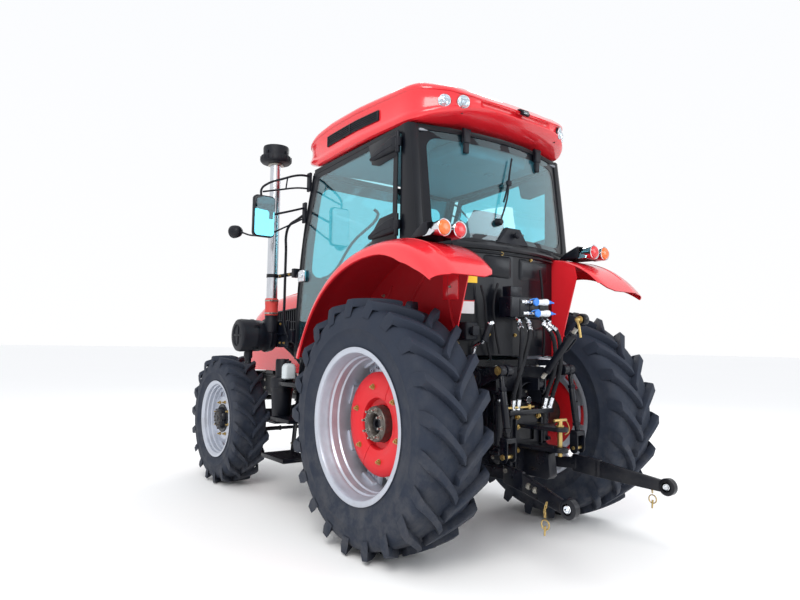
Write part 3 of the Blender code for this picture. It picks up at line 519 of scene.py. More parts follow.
rearTyre = {
    "lugs": 21, "lugRows": 9, "overlap": 0.012, "sweep": 0.33, "lugRadius": rearAxle.z, "lugHeight": 0.046,
    "lugWidth": 0.046, "lugRound": 0.004, "halfWidth": 0.214, "crownDrop": 0.009,
    "carcass": [
        (0.428, 0.166), (0.434, 0.178), (0.450, 0.187), (0.468, 0.186), (0.478, 0.191), (0.484, 0.190), (0.520, 0.199),
        (0.560, 0.206), (0.563, 0.2085), (0.572, 0.2085), (0.575, 0.207), (0.620, 0.208), (0.655, 0.203), (0.680, 0.192),
        (0.697, 0.172), (0.7045, 0.140), (0.7075, 0.080), (0.708, 0.0),
    ],
}
frontTyre = {
    "lugs": 18, "lugRows": 9, "overlap": 0.010, "sweep": 0.34, "lugRadius": frontAxle.z, "lugHeight": 0.037,
    "lugWidth": 0.036, "lugRound": 0.003, "halfWidth": 0.147, "crownDrop": 0.006,
    "carcass": [
        (0.3035, 0.104), (0.308, 0.112), (0.322, 0.120), (0.334, 0.1195), (0.341, 0.124), (0.346, 0.123), (0.375, 0.132),
        (0.400, 0.1385), (0.403, 0.1405), (0.410, 0.1405), (0.413, 0.139), (0.450, 0.1415), (0.478, 0.137), (0.498, 0.126),
        (0.509, 0.108), (0.5145, 0.080), (0.517, 0.040), (0.5175, 0.0),
    ],
}

rearRim = {
    "barrel": [
        (0.4185, 0.158), (0.424, 0.168), (0.430, 0.182), (0.444, 0.189), (0.4565, 0.189), (0.4575, 0.193), (0.452, 0.1955),
        (0.440, 0.195), (0.425, 0.188), (0.417, 0.172), (0.4165, 0.145), (0.410, 0.134), (0.408, 0.112), (0.399, 0.100),
        (0.397, 0.060), (0.390, 0.050), (0.388, -0.060), (0.396, -0.075), (0.398, -0.120), (0.408, -0.132), (0.410, -0.165),
        (0.425, -0.188), (0.440, -0.194), (0.4575, -0.193), (0.4565, -0.189), (0.430, -0.182), (0.4185, -0.158),
        (0.412, -0.05), (0.412, 0.05),
    ],
    "lugs": 8, "boltRing": 0.345,
}


def addRearRim(side, s):
    middle = Vector((rearAxle.x, rearAxle.y * s, rearAxle.z))
    barrel = addSpin([(r, y * s) for r, y in rearRim["barrel"]], middle, "Y", 128, closed=True)
    parts = [barrel]
    plate = addPlate([(-0.052, 0.290), (0.052, 0.290), (0.075, 0.398), (-0.075, 0.398)], "Y", -0.0800 * s, -0.0510 * s, 0.006)
    gusset = addPlate([(-0.062, 0.372), (0.062, 0.372), (0.075, 0.399), (-0.075, 0.399)], "Y", -0.050 * s, -0.012 * s, 0.006)
    nut = boltsAt([(-0.030, -0.051 * s, 0.345), (0.030, -0.051 * s, 0.345)], (0, s, 0), 0.013, 0.012)
    lug = merge([plate, gusset, nut])
    for i in range(rearRim["lugs"]):
        turn = Matrix.Rotation(math.tau * (i + 0.5) / rearRim["lugs"], 4, "Y")
        parts.append(copyOf(lug, Matrix.Translation(middle) @ turn))
    bpy.data.objects.remove(lug)
    back = addSpin([(0.262, -0.078 * s), (0.300, -0.078 * s), (0.300, -0.053 * s), (0.262, -0.053 * s)], middle, "Y", 64, closed=True)
    ready(merge(parts + [back]), f"rim_rear_{side}_stepped", silverPaint, f"wheel_rear_{side}", 30, stands=[f"rim_rear_{side}"])


castDisc = {"radius": 0.310, "hubRadius": 0.148, "boltRing": 0.222, "bolts": 6, "studRing": 0.083, "studs": 8}


def addCastDisc(side, s):  # the two-piece cast wheel centre, split across by a joint line
    middle = Vector((rearAxle.x, rearAxle.y * s, rearAxle.z))
    body = f"wheel_rear_{side}"
    r = castDisc["radius"]
    skin = [
        (0.112, -0.048), (0.112, -0.014), (castDisc["hubRadius"], -0.012), (0.151, 0.018), (0.156, 0.0245), (0.185, 0.0285),
        (0.192, 0.0315), (0.262, 0.0315), (0.272, 0.029), (0.298, 0.022), (r, 0.010), (r + 0.001, -0.045), (r - 0.01, -0.0495),
    ]
    disc = addSpin([(a, b * s) for a, b in skin], middle, "Y", 96, closed=True)
    slit = addBox(middle + Vector((-0.5, -0.1, -0.0018)), middle + Vector((0.5, 0.1, 0.0018)))
    slit.data.transform(turnAbout(middle, "Y", math.radians(62) * s))
    cutAway(disc, [slit])
    softenEdges(disc, 0.0022, 2, 50)
    ready(disc, f"wheel_disc_rear_{side}_cast", redCasting, body, 40, stands=[f"wheel_disc_rear_{side}"])
    out = (0, s, 0)
    spots = [Vector((p.x, middle.y + 0.0315 * s, p.z)) for p in ringOf(middle, "Y", castDisc["boltRing"], castDisc["bolts"], 0.35)]
    ready(boltsAt(spots, out, 0.0155, 0.010), f"disc_bolts_{side}", yellowZinc, body)
    hub = addSpin(
        [(a, b * s) for a, b in [(0.0, -0.010), (0.056, -0.010), (0.060, 0.038), (0.066, 0.046), (0.100, 0.046), (0.106, 0.040), (0.110, -0.012), (0.095, -0.05), (0.088, -0.166), (0.0, -0.166)]],
        middle, "Y", 64,
    )
    ready(hub, f"axle_hub_{side}", greyIron, body, 40)
    studs = [Vector((p.x, middle.y + 0.046 * s, p.z)) for p in ringOf(middle, "Y", castDisc["studRing"], castDisc["studs"], 0.2)]
    ready(boltsAt(studs, out, 0.0135, 0.020), f"hub_studs_{side}", clearZinc, body)
    collar = addSpin([(a, b * s) for a, b in [(0.024, -0.008), (0.046, -0.008), (0.050, 0.006), (0.044, 0.024), (0.024, 0.026)]], middle, "Y", 48, closed=True)
    end = addDrum(middle + Vector((0, -0.009 * s, 0)), middle + Vector((0, 0.012 * s, 0)), 0.0235, around=32, bevel=0.002)
    ready(merge([collar, end]), f"axle_end_{side}", blackEnamel, body)


frontRim = {
    "skin": [
        (0.0, 0.062), (0.098, 0.062), (0.103, 0.056), (0.176, 0.054), (0.190, 0.048), (0.215, 0.026), (0.236, 0.020),
        (0.262, 0.020), (0.272, 0.024), (0.276, 0.050), (0.283, 0.056), (0.2845, 0.084), (0.293, 0.092), (0.296, 0.112),
        (0.308, 0.124), (0.320, 0.1285), (0.330, 0.1280), (0.3305, 0.1240), (0.314, 0.118), (0.304, 0.106), (0.302, 0.096),
        (0.302, -0.096), (0.304, -0.106), (0.314, -0.118), (0.3305, -0.124), (0.330, -0.128), (0.308, -0.124),
        (0.292, -0.104), (0.282, -0.02), (0.262, 0.006), (0.236, 0.008), (0.190, 0.034), (0.100, 0.036), (0.0, 0.036),
    ],
    "slots": 8,
}


def addFrontRim(side, s):
    middle = Vector((frontAxle.x, frontAxle.y * s, frontAxle.z))
    body = f"wheel_front_{side}"
    rim = addSpin([(a, b * s) for a, b in frontRim["skin"]], middle, "Y", 96)
    slots = []
    for p in ringOf(middle, "Y", 0.236, frontRim["slots"], 0.2):
        aim = (p - middle).normalized()
        hole = addDrum(p - Vector((0, 0.1, 0)), p + Vector((0, 0.1, 0)), 0.020, around=16)
        wide = Matrix.Translation(p) @ Matrix.Rotation(-math.atan2(aim.z, aim.x), 4, "Y") @ Matrix.Diagonal((0.8, 1, 1.5, 1)) @ Matrix.Rotation(math.atan2(aim.z, aim.x), 4, "Y") @ Matrix.Translation(-p)
        hole.data.transform(wide)
        slots.append(hole)
    cutAway(rim, slots)
    ready(rim, f"rim_front_{side}_dished", silverPaint, body, 30, stands=[f"rim_front_{side}"])
    out = (0, s, 0)
    hub = addSpin(
        [(a, b * s) for a, b in [(0.0, 0.112), (0.022, 0.112), (0.026, 0.106), (0.074, 0.104), (0.084, 0.098), (0.0905, 0.088), (0.094, 0.066), (0.118, 0.066), (0.122, 0.062), (0.122, 0.054), (0.0, 0.050)]],
        middle, "Y", 64,
    )
    ribs = []
    for k, p in enumerate(ringOf(middle, "Y", 0.089, 8, 0.1)):
        rib = addBox((-0.006, 0, -0.008), (0.006, 0.036, 0.008), 0.002)
        rib.data.transform(Matrix.Translation(Vector((p.x, middle.y + (0.064 if s > 0 else -0.100), p.z))) @ Matrix.Rotation(-(0.1 + math.tau * k / 8), 4, "Y"))
        ribs.append(rib)
    ready(merge([hub] + ribs), f"planet_hub_{side}", blackEnamel, body, 40)
    small = [Vector((p.x, middle.y + 0.103 * s, p.z)) for p in ringOf(middle, "Y", 0.060, 12, 0.1)]
    ready(boltsAt(small, out, 0.0075, 0.003), f"planet_hub_bolts_{side}", greyIron, body)
    nuts = [Vector((p.x, middle.y + 0.055 * s, p.z)) for p in ringOf(middle, "Y", 0.147, 8, 0.3)]
    ready(boltsAt(nuts, out, 0.013, 0.014), f"wheel_nuts_{side}", yellowZinc, body)
    back = addSpin([(a, b * s) for a, b in [(0.0, 0.036), (0.10, 0.036), (0.098, -0.042), (0.0, -0.042)]], middle, "Y", 40)
    ready(back, f"hub_carrier_{side}", blackEnamel, body, 40)


for side, s in sides.items():
    addTyre(f"tyre_rear_{side}", rearTyre, Vector((rearAxle.x, rearAxle.y * s, rearAxle.z)), s, f"wheel_rear_{side}")
    addTyre(f"tyre_front_{side}", frontTyre, Vector((frontAxle.x, frontAxle.y * s, frontAxle.z)), s, f"wheel_front_{side}")
    addRearRim(side, s)
    addCastDisc(side, s)
    addFrontRim(side, s)
print("wheels made")

# Fenders, tail lamps and roof

def addSkin(rows, wall=0.0, closed=False, offset=0.0):  # a sheet over rows of points, given a thickness if asked
    wide = len(rows[0])
    points = [tuple(p) for row in rows for p in row]
    faces = []
    for i in range(len(rows) - 1):
        for j in range(wide if closed else wide - 1):
            a, b = i * wide + j, i * wide + (j + 1) % wide
            faces.append((a, b, b + wide, a + wide))
    mesh = bpy.data.meshes.new("skin")
    mesh.from_pydata(points, [], faces)
    obj = bpy.data.objects.new("skin", mesh)
    bpy.context.collection.objects.link(obj)
    editing(obj, "FACE")
    bpy.ops.mesh.normals_make_consistent(inside=False)
    leave()
    return useModifier(obj, "SOLIDIFY", thickness=wall, offset=offset) if wall else obj


def capEnds(obj):  # closes the open rims of a skin
    editing(obj, "EDGE")
    bpy.ops.mesh.select_all(action="DESELECT")
    bpy.ops.mesh.select_non_manifold(extend=False)
    bpy.ops.mesh.fill_holes(sides=0)
    bpy.ops.mesh.select_all(action="SELECT")
    bpy.ops.mesh.normals_make_consistent(inside=False)
    leave()
    return obj


def between(table, value):  # reads a table of (value, result) pairs, smoothly stepped
    if value <= table[0][0]:
        return table[0][1]
    for (a, low), (b, high) in zip(table, table[1:]):
        if value <= b:
            t = (value - a) / (b - a)
            return low + (high - low) * t
    return table[-1][1]


def easedStep(low, high, value):
    t = min(max((value - low) / (high - low), 0.0), 1.0)
    return t * t * (3 - 2 * t)


def bezierPoint(knots, t):
    a, b, c, d = (Vector(knot) for knot in knots)
    s = 1 - t
    return a * s ** 3 + b * 3 * s * s * t + c * 3 * s * t * t + d * t ** 3


fender = {
    "front": [(0.80, 1.13), (0.66, 1.55), (0.30, 1.81), (-0.16, 1.815)],
    "rear": [(-0.16, 1.815), (-0.40, 1.815), (-0.55, 1.72), (-0.66, 1.585)],
    "across": [(0.487, 0.018), (0.500, 0.026), (0.530, 0.0285), (0.600, 0.029), (0.640, 0.0295), (0.790, 0.0295),
               (0.835, 0.028), (0.850, 0.020), (0.895, 0.012), (0.925, 0.000), (0.944, -0.014), (0.952, -0.030)],
    "skirt": [(0.0, 0.004), (0.30, 0.016), (0.50, 0.030), (0.66, 0.040), (0.80, 0.066), (0.90, 0.045), (1.0, 0.0)],
    "rows": 64, "wall": 0.004,
}


def fenderLine(t):  # a point on the fender's underside line and the way out from it, front to rear
    def spot(u):
        u = min(max(u, 0.0), 1.0)
        return bezierPoint(fender["front"], u / 0.66) if u < 0.66 else bezierPoint(fender["rear"], (u - 0.66) / 0.34)
    here, ahead = spot(t - 0.004), spot(t + 0.004)
    along = (ahead - here).normalized()
    return spot(t), Vector((along.y, -along.x))


# Underside of the fenders: painted shade, a darker red than the enamel that stands in for the shade under the fender
# and on its inner wall, with a dull matt surface
redUndersidePaintedShade = makeFinish("red_underside_painted_shade", ("A30D1B", "B3121F"), (0.55, 0.7), grainMm=80, bumpMm=0.6, bumpGrainMm=4, ior=1.36)


def addFender(side, s):
    rows, painted_shade_lining = [], []
    for i in range(fender["rows"]):
        t = i / (fender["rows"] - 1)
        row = []
        for y, lift in fender["across"]:
            p, out = fenderLine(t * (1.0 - 0.05 * (1 - easedStep(0.48, 0.56, y))))
            edge = 0.35 + 0.65 * easedStep(0.0, 0.12, t)
            q = p + out * (lift * edge)
            row.append(at(q.x, y * s, q.y))
        # lining rows: a thin sheet just inside the shell's underside, there only to carry the painted shade
        painted_shade_lining.append([at(a.x - rearAxle.x, 0, 0) + Vector((-out.x * 0.0062, a.y, a.z - out.y * 0.0062)) for a in row[1:10]])
        p, out = fenderLine(t)
        drop = between(fender["skirt"], t)
        for k in (0.35, 0.7, 1.0):
            q = p - out * (0.030 + drop * k)
            row.append(at(q.x, (0.9535 + 0.001 * k) * s, q.y))
        q = p - out * (0.033 + drop)
        row.append(at(q.x, 0.944 * s, q.y))
        rows.append(row)
    shell = addSkin(rows, fender["wall"], offset=0)
    wall = [fenderLine(i / 30 * 0.90) for i in range(31)]
    outline = [(p.x + out.x * 0.02, p.y + out.y * 0.02) for p, out in wall if p.x > -0.46]
    outline += [(-0.455, 1.70), (-0.36, 1.37), (-0.30, 1.165), (0.775, 1.165)]
    outline = [(at(x, 0, z).x, z) for x, z in outline]
    low, high = sorted((0.4865 * s, 0.4935 * s))
    panel = addPlate(outline, "Y", low, high)
    ribs = []
    for start, bend, end in (((0.30, 1.20), (0.10, 1.55), (-0.18, 1.795)), ((-0.34, 1.30), (-0.22, 1.55), (-0.30, 1.78)), ((0.62, 1.18), (0.45, 1.42), (0.30, 1.62))):
        path = [Vector(start).lerp(Vector(bend), k / 8).lerp(Vector(bend).lerp(Vector(end), k / 8), k / 8) for k in range(9)]
        rib = addTube([at(q.x, 0.4955 * s, q.y) for q in path], 0.009, 8)
        ribs.append(rib)
    foot = addBox(at(-0.36, min(0.489 * s, 0.503 * s), 1.50), at(-0.22, max(0.489 * s, 0.503 * s), 1.66), 0.006)
    # the lining: that sheet, a thin plate over the inner wall and the ribs, all in the darker red of the painted shade
    low, high = sorted((0.4942 * s, 0.4950 * s))
    painted_shade_lining = merge([addSkin(painted_shade_lining, 0.0006, offset=0), addPlate(outline, "Y", low, high)] + ribs)
    ready(painted_shade_lining, f"fender_{side}_lining", redUndersidePaintedShade, "chassis", 35)
    whole = merge([shell, panel, foot])
    ready(whole, f"fender_{side}_shell", redEnamel, "chassis", 35, stands=[f"fender_{side}"])
    spots = [at(x, 0.495 * s, z) for x, z in ((0.52, 1.30), (0.40, 1.56), (-0.10, 1.70), (-0.29, 1.58), (0.05, 1.30))]
    ready(boltsAt(spots, (0, s, 0), 0.011, 0.008), f"fender_bolts_{side}", clearZinc, "chassis")
    # a rolled bead on the crown where the raised middle starts
    bead = []
    for i in range(20):
        p, out = fenderLine(0.30 + 0.62 * i / 19)
        q = p + out * 0.0285
        bead.append(at(q.x, (0.842 - 0.05 * easedStep(0.0, 1.0, i / 19)) * s, q.y))
    ready(addTube(bead, 0.006, 8), f"fender_bead_{side}", redEnamel, "chassis")


tailLamp = {"radius": 0.047, "height": 1.882, "amberY": 0.738, "redY": 0.620, "faceX": -0.505}


def addTailLamp(side, s):
    parts, lenses = [], {}
    r = tailLamp["radius"]
    for kind, y in (("amber", tailLamp["amberY"]), ("red", tailLamp["redY"])):
        middle = at(tailLamp["faceX"], y * s, tailLamp["height"])
        cup = [(0.0, 0.110), (0.026, 0.108), (0.038, 0.085), (r, 0.020), (r + 0.003, 0.006), (r + 0.003, 0.0), (r, -0.003), (r - 0.004, 0.0), (r - 0.006, 0.010), (0.0, 0.014)]
        parts.append(addSpin(cup, middle, "X", 40))
        dome = [(0.0, -0.012), (r * 0.35, -0.011), (r * 0.7, -0.008), (r - 0.008, -0.003), (r - 0.005, 0.004), (0.0, 0.004)]
        lens = addSpin(dome, middle, "X", 40)
        rings = [addSpin([(q, -0.0105 + 0.002 * n), (q + 0.002, -0.0125 + 0.002 * n), (q + 0.004, -0.0095 + 0.002 * n)], middle, "X", 40, closed=True) for n, q in enumerate((0.012, 0.022, 0.031))]
        lenses[kind] = merge([lens] + rings)
    saddle = addSkin(
        [[at(x, y * s, z) for x, y, z in ((x0, 0.575, 1.842), (x0, 0.585, zt), (x0, 0.640, zt + 0.012), (x0, 0.720, zt + 0.012), (x0, 0.775, zt), (x0, 0.788, 1.842))]
         for x0, zt in ((-0.470, 1.868), (-0.440, 1.885), (-0.400, 1.890), (-0.375, 1.875))],
    )
    capEnds(saddle)
    ready(merge(parts + [saddle]), f"tail_lamp_shell_{side}", chrome, "chassis", 40, stands=[f"tail_lamp_{side}"])
    ready(lenses["amber"], f"indicator_lens_{side}", amberLens, "chassis")
    ready(lenses["red"], f"stop_lamp_lens_{side}", redLens, "chassis")
    rows = []
    for x, low, high, inner, outer in ((-0.405, 1.846, 1.926, 0.575, 0.785), (-0.380, 1.846, 1.932, 0.570, 0.790), (-0.300, 1.846, 1.900, 0.570, 0.780), (-0.250, 1.846, 1.872, 0.575, 0.770), (-0.225, 1.844, 1.852, 0.590, 0.760)):
        step = (outer - inner) * 0.12
        rows.append([at(x, y * s, z) for y, z in ((inner, low), (inner, high - 0.012), (inner + step, high), (outer - step, high), (outer, high - 0.012), (outer, low))])
    hood = capEnds(addSkin(rows))
    softenEdges(hood, 0.004, 2, 30)
    ready(hood, f"tail_lamp_hood_{side}", blackPlastic, "chassis")


roof = {
    "stations": [(-0.375, 2.690, 2.775), (-0.300, 2.650, 2.835), (-0.150, 2.612, 2.880), (0.450, 2.590, 2.895),
                 (0.800, 2.570, 2.888), (1.000, 2.560, 2.862), (1.180, 2.610, 2.800), (1.290, 2.672, 2.745)],
    "outline": [(-0.385, 0.0), (-0.383, 0.20), (-0.368, 0.36), (-0.335, 0.47), (-0.270, 0.575), (-0.190, 0.655), (-0.090, 0.700),
                (0.100, 0.712), (0.450, 0.725), (0.800, 0.722), (1.000, 0.715), (1.120, 0.695), (1.200, 0.655), (1.255, 0.575), (1.282, 0.430), (1.290, 0.220), (1.292, 0.0)],
    # how far in and how high up each level of the cap lies
    "levels": [(0.130, 0.030), (0.060, 0.010), (0.022, 0.000), (0.008, 0.030), (0.001, 0.090), (0.002, 0.160), (0.008, 0.200), (0.010, 0.250), (0.014, 0.340),
               (0.015, 0.460), (0.013, 0.600), (0.009, 0.650), (0.008, 0.690), (0.001, 0.715), (0.000, 0.760), (0.006, 0.810), (0.022, 0.860), (0.050, 0.905), (0.090, 0.940)],
    "around": 240,
}


def roofHeight(x, part):
    low = between([(a, b) for a, b, c in roof["stations"]], x)
    high = between([(a, c) for a, b, c in roof["stations"]], x)
    return low + (high - low) * part


def roofOutline():  # evenly spaced points round the cap with the way out from each
    half = [Vector(p) for p in roof["outline"]]
    loop = half + [Vector((p.x, -p.y)) for p in reversed(half[1:-1])]
    count = len(loop)
    smooth = []
    for i in range(count):
        a, b, c, d = loop[i - 1], loop[i], loop[(i + 1) % count], loop[(i + 2) % count]
        for k in range(12):
            t = k / 12
            smooth.append(0.5 * (2 * b + (c - a) * t + (2 * a - 5 * b + 4 * c - d) * t * t + (3 * b - a - 3 * c + d) * t ** 3))
    lengths = [0.0]
    for a, b in zip(smooth, smooth[1:] + smooth[:1]):
        lengths.append(lengths[-1] + (b - a).length)
    points, j = [], 0
    for i in range(roof["around"]):
        want = lengths[-1] * i / roof["around"]
        while lengths[j + 1] < want:
            j += 1
        t = (want - lengths[j]) / (lengths[j + 1] - lengths[j])
        points.append(smooth[j].lerp(smooth[(j + 1) % len(smooth)], t))
    spots = []
    for i, p in enumerate(points):
        along = (points[(i + 1) % len(points)] - points[i - 1]).normalized()
        out = Vector((-along.y, along.x)) if (Vector((-along.y, along.x)).dot(p - Vector((0.45, 0)))) > 0 else Vector((along.y, -along.x))
        spots.append((p, out))
    return spots


def roofPoint(p, out, inset, part):
    deep = 0.0
    if p.x < 0.1:  # the pressed panel across the back
        deep = 0.017 * (1 - easedStep(0.30, 0.325, abs(p.y))) * easedStep(0.20, 0.25, part) * (1 - easedStep(0.60, 0.65, part))
    q = p - out * (inset + deep)
    return at(q.x, q.y, roofHeight(q.x, part))


def addRoof():
    spots = roofOutline()
    rows = [[roofPoint(p, out, inset, part) for p, out in spots] for inset, part in roof["levels"]]
    last = roof["levels"][-1]
    middle = Vector((0.45, 0.0))
    for shrink, part in ((0.10, 0.960), (0.25, 0.978), (0.45, 0.990), (0.70, 0.998), (0.95, 1.0)):
        row = []
        for p, out in spots:
            q = (p - out * last[0]).lerp(middle, shrink)
            rib = 0.012 * (1 if abs(q.y) < 0.42 and int((q.y + 0.42) / 0.12) % 2 and 0.0 < q.x < 0.9 else 0)
            row.append(at(q.x, q.y, roofHeight(q.x, part) - rib * 0.2))
        rows.append(row)
    under = [roofPoint(p, out, 0.13, 0.03) for p, out in spots]
    low = [at(*((Vector((p.x - rearAxle.x, p.y)).lerp(middle, 0.9))), roofHeight(0.4, 0.06)) for p in under]
    shell = addSkin([low] + rows, closed=True)
    capEnds(shell)
    ready(shell, "roof_cap", redEnamel, "chassis", 32, stands=["roof"])
    # four shallow pressings along the top
    ribs = []
    for y in (-0.36, -0.12, 0.12, 0.36):
        ribs.append(addSkin([[at(x, y + d, roofHeight(x, 1.0) - 0.004 + 0.010 * math.cos(d / 0.05 * math.pi / 2)) for d in (-0.05, -0.038, -0.02, 0.0, 0.02, 0.038, 0.05)] for x in [-0.02 + 0.09 * k for k in range(11)]]))
    ready(merge(ribs), "roof_ribs", redEnamel, "chassis", 50)


def addRoofVents(s, side):
    rails, slats = [], []
    spots = [spot for spot in roofOutline() if spot[0].y * s > 0.6 and 0.20 < spot[0].x < 0.86]
    spots.sort(key=lambda spot: spot[0].x)

    def strip(low, high, inset):
        return addSkin([[roofPoint(p, out, inset, part) for part in (low, (low + high) / 2, high)] for p, out in spots], 0.004)
    for part in (0.32, 0.53):
        rails.append(strip(part, part + 0.025, 0.006))
    back = strip(0.33, 0.55, 0.012)
    for k in range(4):
        slats.append(strip(0.358 + 0.044 * k, 0.380 + 0.044 * k, 0.007))
    ends = []
    for p, out in (spots[0], spots[len(spots) // 2], spots[-1]):
        low, high = roofPoint(p, out, 0.008, 0.32), roofPoint(p, out, 0.008, 0.555)
        ends.append(addBox((low.x - 0.008, min(low.y, high.y) - 0.006, low.z), (low.x + 0.008, max(low.y, high.y) + 0.006, high.z), 0.003))
    ready(merge(rails + slats + ends), f"roof_vent_{side}", blackPlastic, "chassis")
    ready(back, f"roof_vent_gauze_{side}", blackPowder, "chassis")


workLamp = {"radius": 0.041, "depth": 0.055}


def addWorkLamp(name, middle, aim, radius, body="chassis"):  # a round lamp: bowl with its bezel lip, reflector and cover
    turn = Vector(aim).normalized().to_track_quat("X", "Z").to_matrix().to_4x4()
    place = Matrix.Translation(middle) @ turn
    r = radius
    bowl = addSpin([(0.0, -0.060), (r * 0.5, -0.058), (r * 0.82, -0.044), (r * 0.97, -0.018), (r, 0.0), (r * 0.96, 0.004), (r * 0.94, -0.004), (0.0, -0.006)], (0, 0, 0), "X", 32)
    foot = addBox((-0.045, -0.010, -r - 0.016), (-0.015, 0.010, -r * 0.8), 0.003)
    nut = addDrum((-0.03, 0, -r - 0.014), (-0.03, 0, -r - 0.024), 0.008, around=6)
    shell = merge([bowl, foot, nut])
    shell.data.transform(place)
    ready(shell, name + "_bowl", blackPlastic, body)
    mirror = addSpin([(r * 0.30, -0.003), (r * 0.55, -0.001), (r * 0.8, 0.004), (r * 0.93, 0.009), (r * 0.99, 0.006), (r * 0.99, -0.002)], (0, 0, 0), "X", 32, closed=True)
    bulb = addBall((0.003, 0, 0), r * 0.28, 16, (0.6, 1, 1))
    bar = [addBox((0.004, -r * 0.9, z - 0.002), (0.008, r * 0.9, z + 0.002), 0.0008) for z in (-r * 0.35, r * 0.35)]
    inner = merge([mirror, bulb] + bar)
    inner.data.transform(place)
    ready(inner, name + "_reflector", chrome, body)
    cover = addSpin([(0.0, 0.016), (r * 0.5, 0.0145), (r * 0.85, 0.010), (r * 0.95, 0.006), (r * 0.93, 0.004), (r * 0.5, 0.0115), (0.0, 0.013)], (0, 0, 0), "X", 32)
    cover.data.transform(place)
    ready(cover, name + "_glass", lampGlass, body)


for side, s in sides.items():
    addFender(side, s)
    addTailLamp(side, s)
    addRoofVents(s, side)
    addWorkLamp(f"roof_lamp_outer_{side}", at(-0.275, 0.552 * s, 2.718), (-1.0, 0.75 * s, -0.10), workLamp["radius"])
    addWorkLamp(f"roof_lamp_inner_{side}", at(-0.338, 0.452 * s, 2.716), (-1.0, 0.45 * s, -0.10), workLamp["radius"])
    addWorkLamp(f"roof_lamp_front_{side}", at(1.262, 0.50 * s, 2.725), (1.0, 0.12 * s, -0.12), workLamp["radius"] + 0.008)
addRoof()
plateLamp = merge([
    addBox(at(-0.398, -0.075, 2.752), at(-0.372, 0.015, 2.764), 0.003),
    addBox(at(-0.412, -0.060, 2.728), at(-0.384, 0.000, 2.756), 0.006),
    addDrum(at(-0.398, -0.072, 2.742), at(-0.380, -0.072, 2.742), 0.012, around=20, bevel=0.002),
])
ready(plateLamp, "number_plate_lamp", blackPlastic, "chassis")
ready(addBox(at(-0.4135, -0.054, 2.731), at(-0.409, -0.010, 2.750), 0.002), "number_plate_lens", lampGlass, "chassis")
print("fenders, tail lamps and roof made")

# Cab: glass, doors, trim and seat

rearGlass = {"rows": [(1.8805, -0.200), (1.99, -0.195), (2.5735, -0.118)], "half": 0.652, "bow": -0.125}
frontGlass = {"rows": [(1.6905, 1.230), (2.02, 1.188), (2.4995, 1.056)], "half": 0.652, "bow": 0.055}


def glassPoint(pane, u, z, out=0.0):  # a point on a bowed pane; u runs from -1 at the right to 1 at the left
    x = between(pane["rows"], z) + pane["bow"] * (1 - u * u)
    return at(x + (out if pane["bow"] > 0 else -out), pane["half"] * u, z)


def addBowedPane(pane, name, stands):
    low, high = pane["rows"][0][0] + 0.001, pane["rows"][-1][0] - 0.001
    rows = [[glassPoint(pane, -1 + 2 * k / 24, low + (high - low) * i / 8) for k in range(25)] for i in range(9)]
    sheet = addSkin(rows, 0.005, offset=0)
    ready(sheet, name, cabGlass, "chassis", 60, stands=stands)


def roundedLoop(low, high, left, right, corner, count=8):  # a rounded rectangle, as (u, z) pairs in metres
    loop = []
    for cx, cz, start in ((right - corner, high - corner, 0), (left + corner, high - corner, 90), (left + corner, low + corner, 180), (right - corner, low + corner, 270)):
        for k in range(count + 1):
            a = math.radians(start + 90 * k / count)
            loop.append((cx + corner * math.cos(a), cz + corner * math.sin(a)))
    return loop


def addBand(pane, outer, inner, out, wall, name, finish):  # a border on a pane, between two loops
    def fill(a, b, k):
        return [(p[0] + (q[0] - p[0]) * k, p[1] + (q[1] - p[1]) * k) for p, q in zip(a, b)]
    rows = []
    for k in (0.0, 0.5, 1.0):
        rows.append([glassPoint(pane, y / pane["half"], z, out) for y, z in densified(fill(outer, inner, k))])
    band = addSkin(rows, wall, closed=True)
    return ready(band, name, finish, "chassis", 40)


def densified(loop, most=4):  # adds points along a loop's long sides, so that it can follow a curve
    points = []
    for a, b in zip(loop, loop[1:] + loop[:1]):
        points += [(a[0] + (b[0] - a[0]) * k / most, a[1] + (b[1] - a[1]) * k / most) for k in range(most)]
    return points


addBowedPane(rearGlass, "rear_window_pane", ["rear_window"])
addBowedPane(frontGlass, "windshield_pane", ["windshield"])
addBand(rearGlass, roundedLoop(1.885, 2.570, -0.648, 0.648, 0.03), roundedLoop(1.925, 2.515, -0.595, 0.595, 0.075), 0.0045, 0.0015, "rear_window_ceramic_edge", blackPowder)
addBand(rearGlass, roundedLoop(1.874, 2.580, -0.660, 0.660, 0.035), roundedLoop(1.892, 2.562, -0.640, 0.640, 0.03), 0.009, 0.010, "rear_window_seal", softRubber)
addBand(frontGlass, roundedLoop(1.695, 2.495, -0.648, 0.648, 0.03), roundedLoop(1.745, 2.425, -0.605, 0.605, 0.07), 0.0045, 0.0015, "windshield_ceramic_edge", blackPowder)
addBand(frontGlass, roundedLoop(1.686, 2.505, -0.658, 0.658, 0.03), roundedLoop(1.702, 2.488, -0.640, 0.640, 0.03), 0.008, 0.008, "windshield_seal", softRubber)


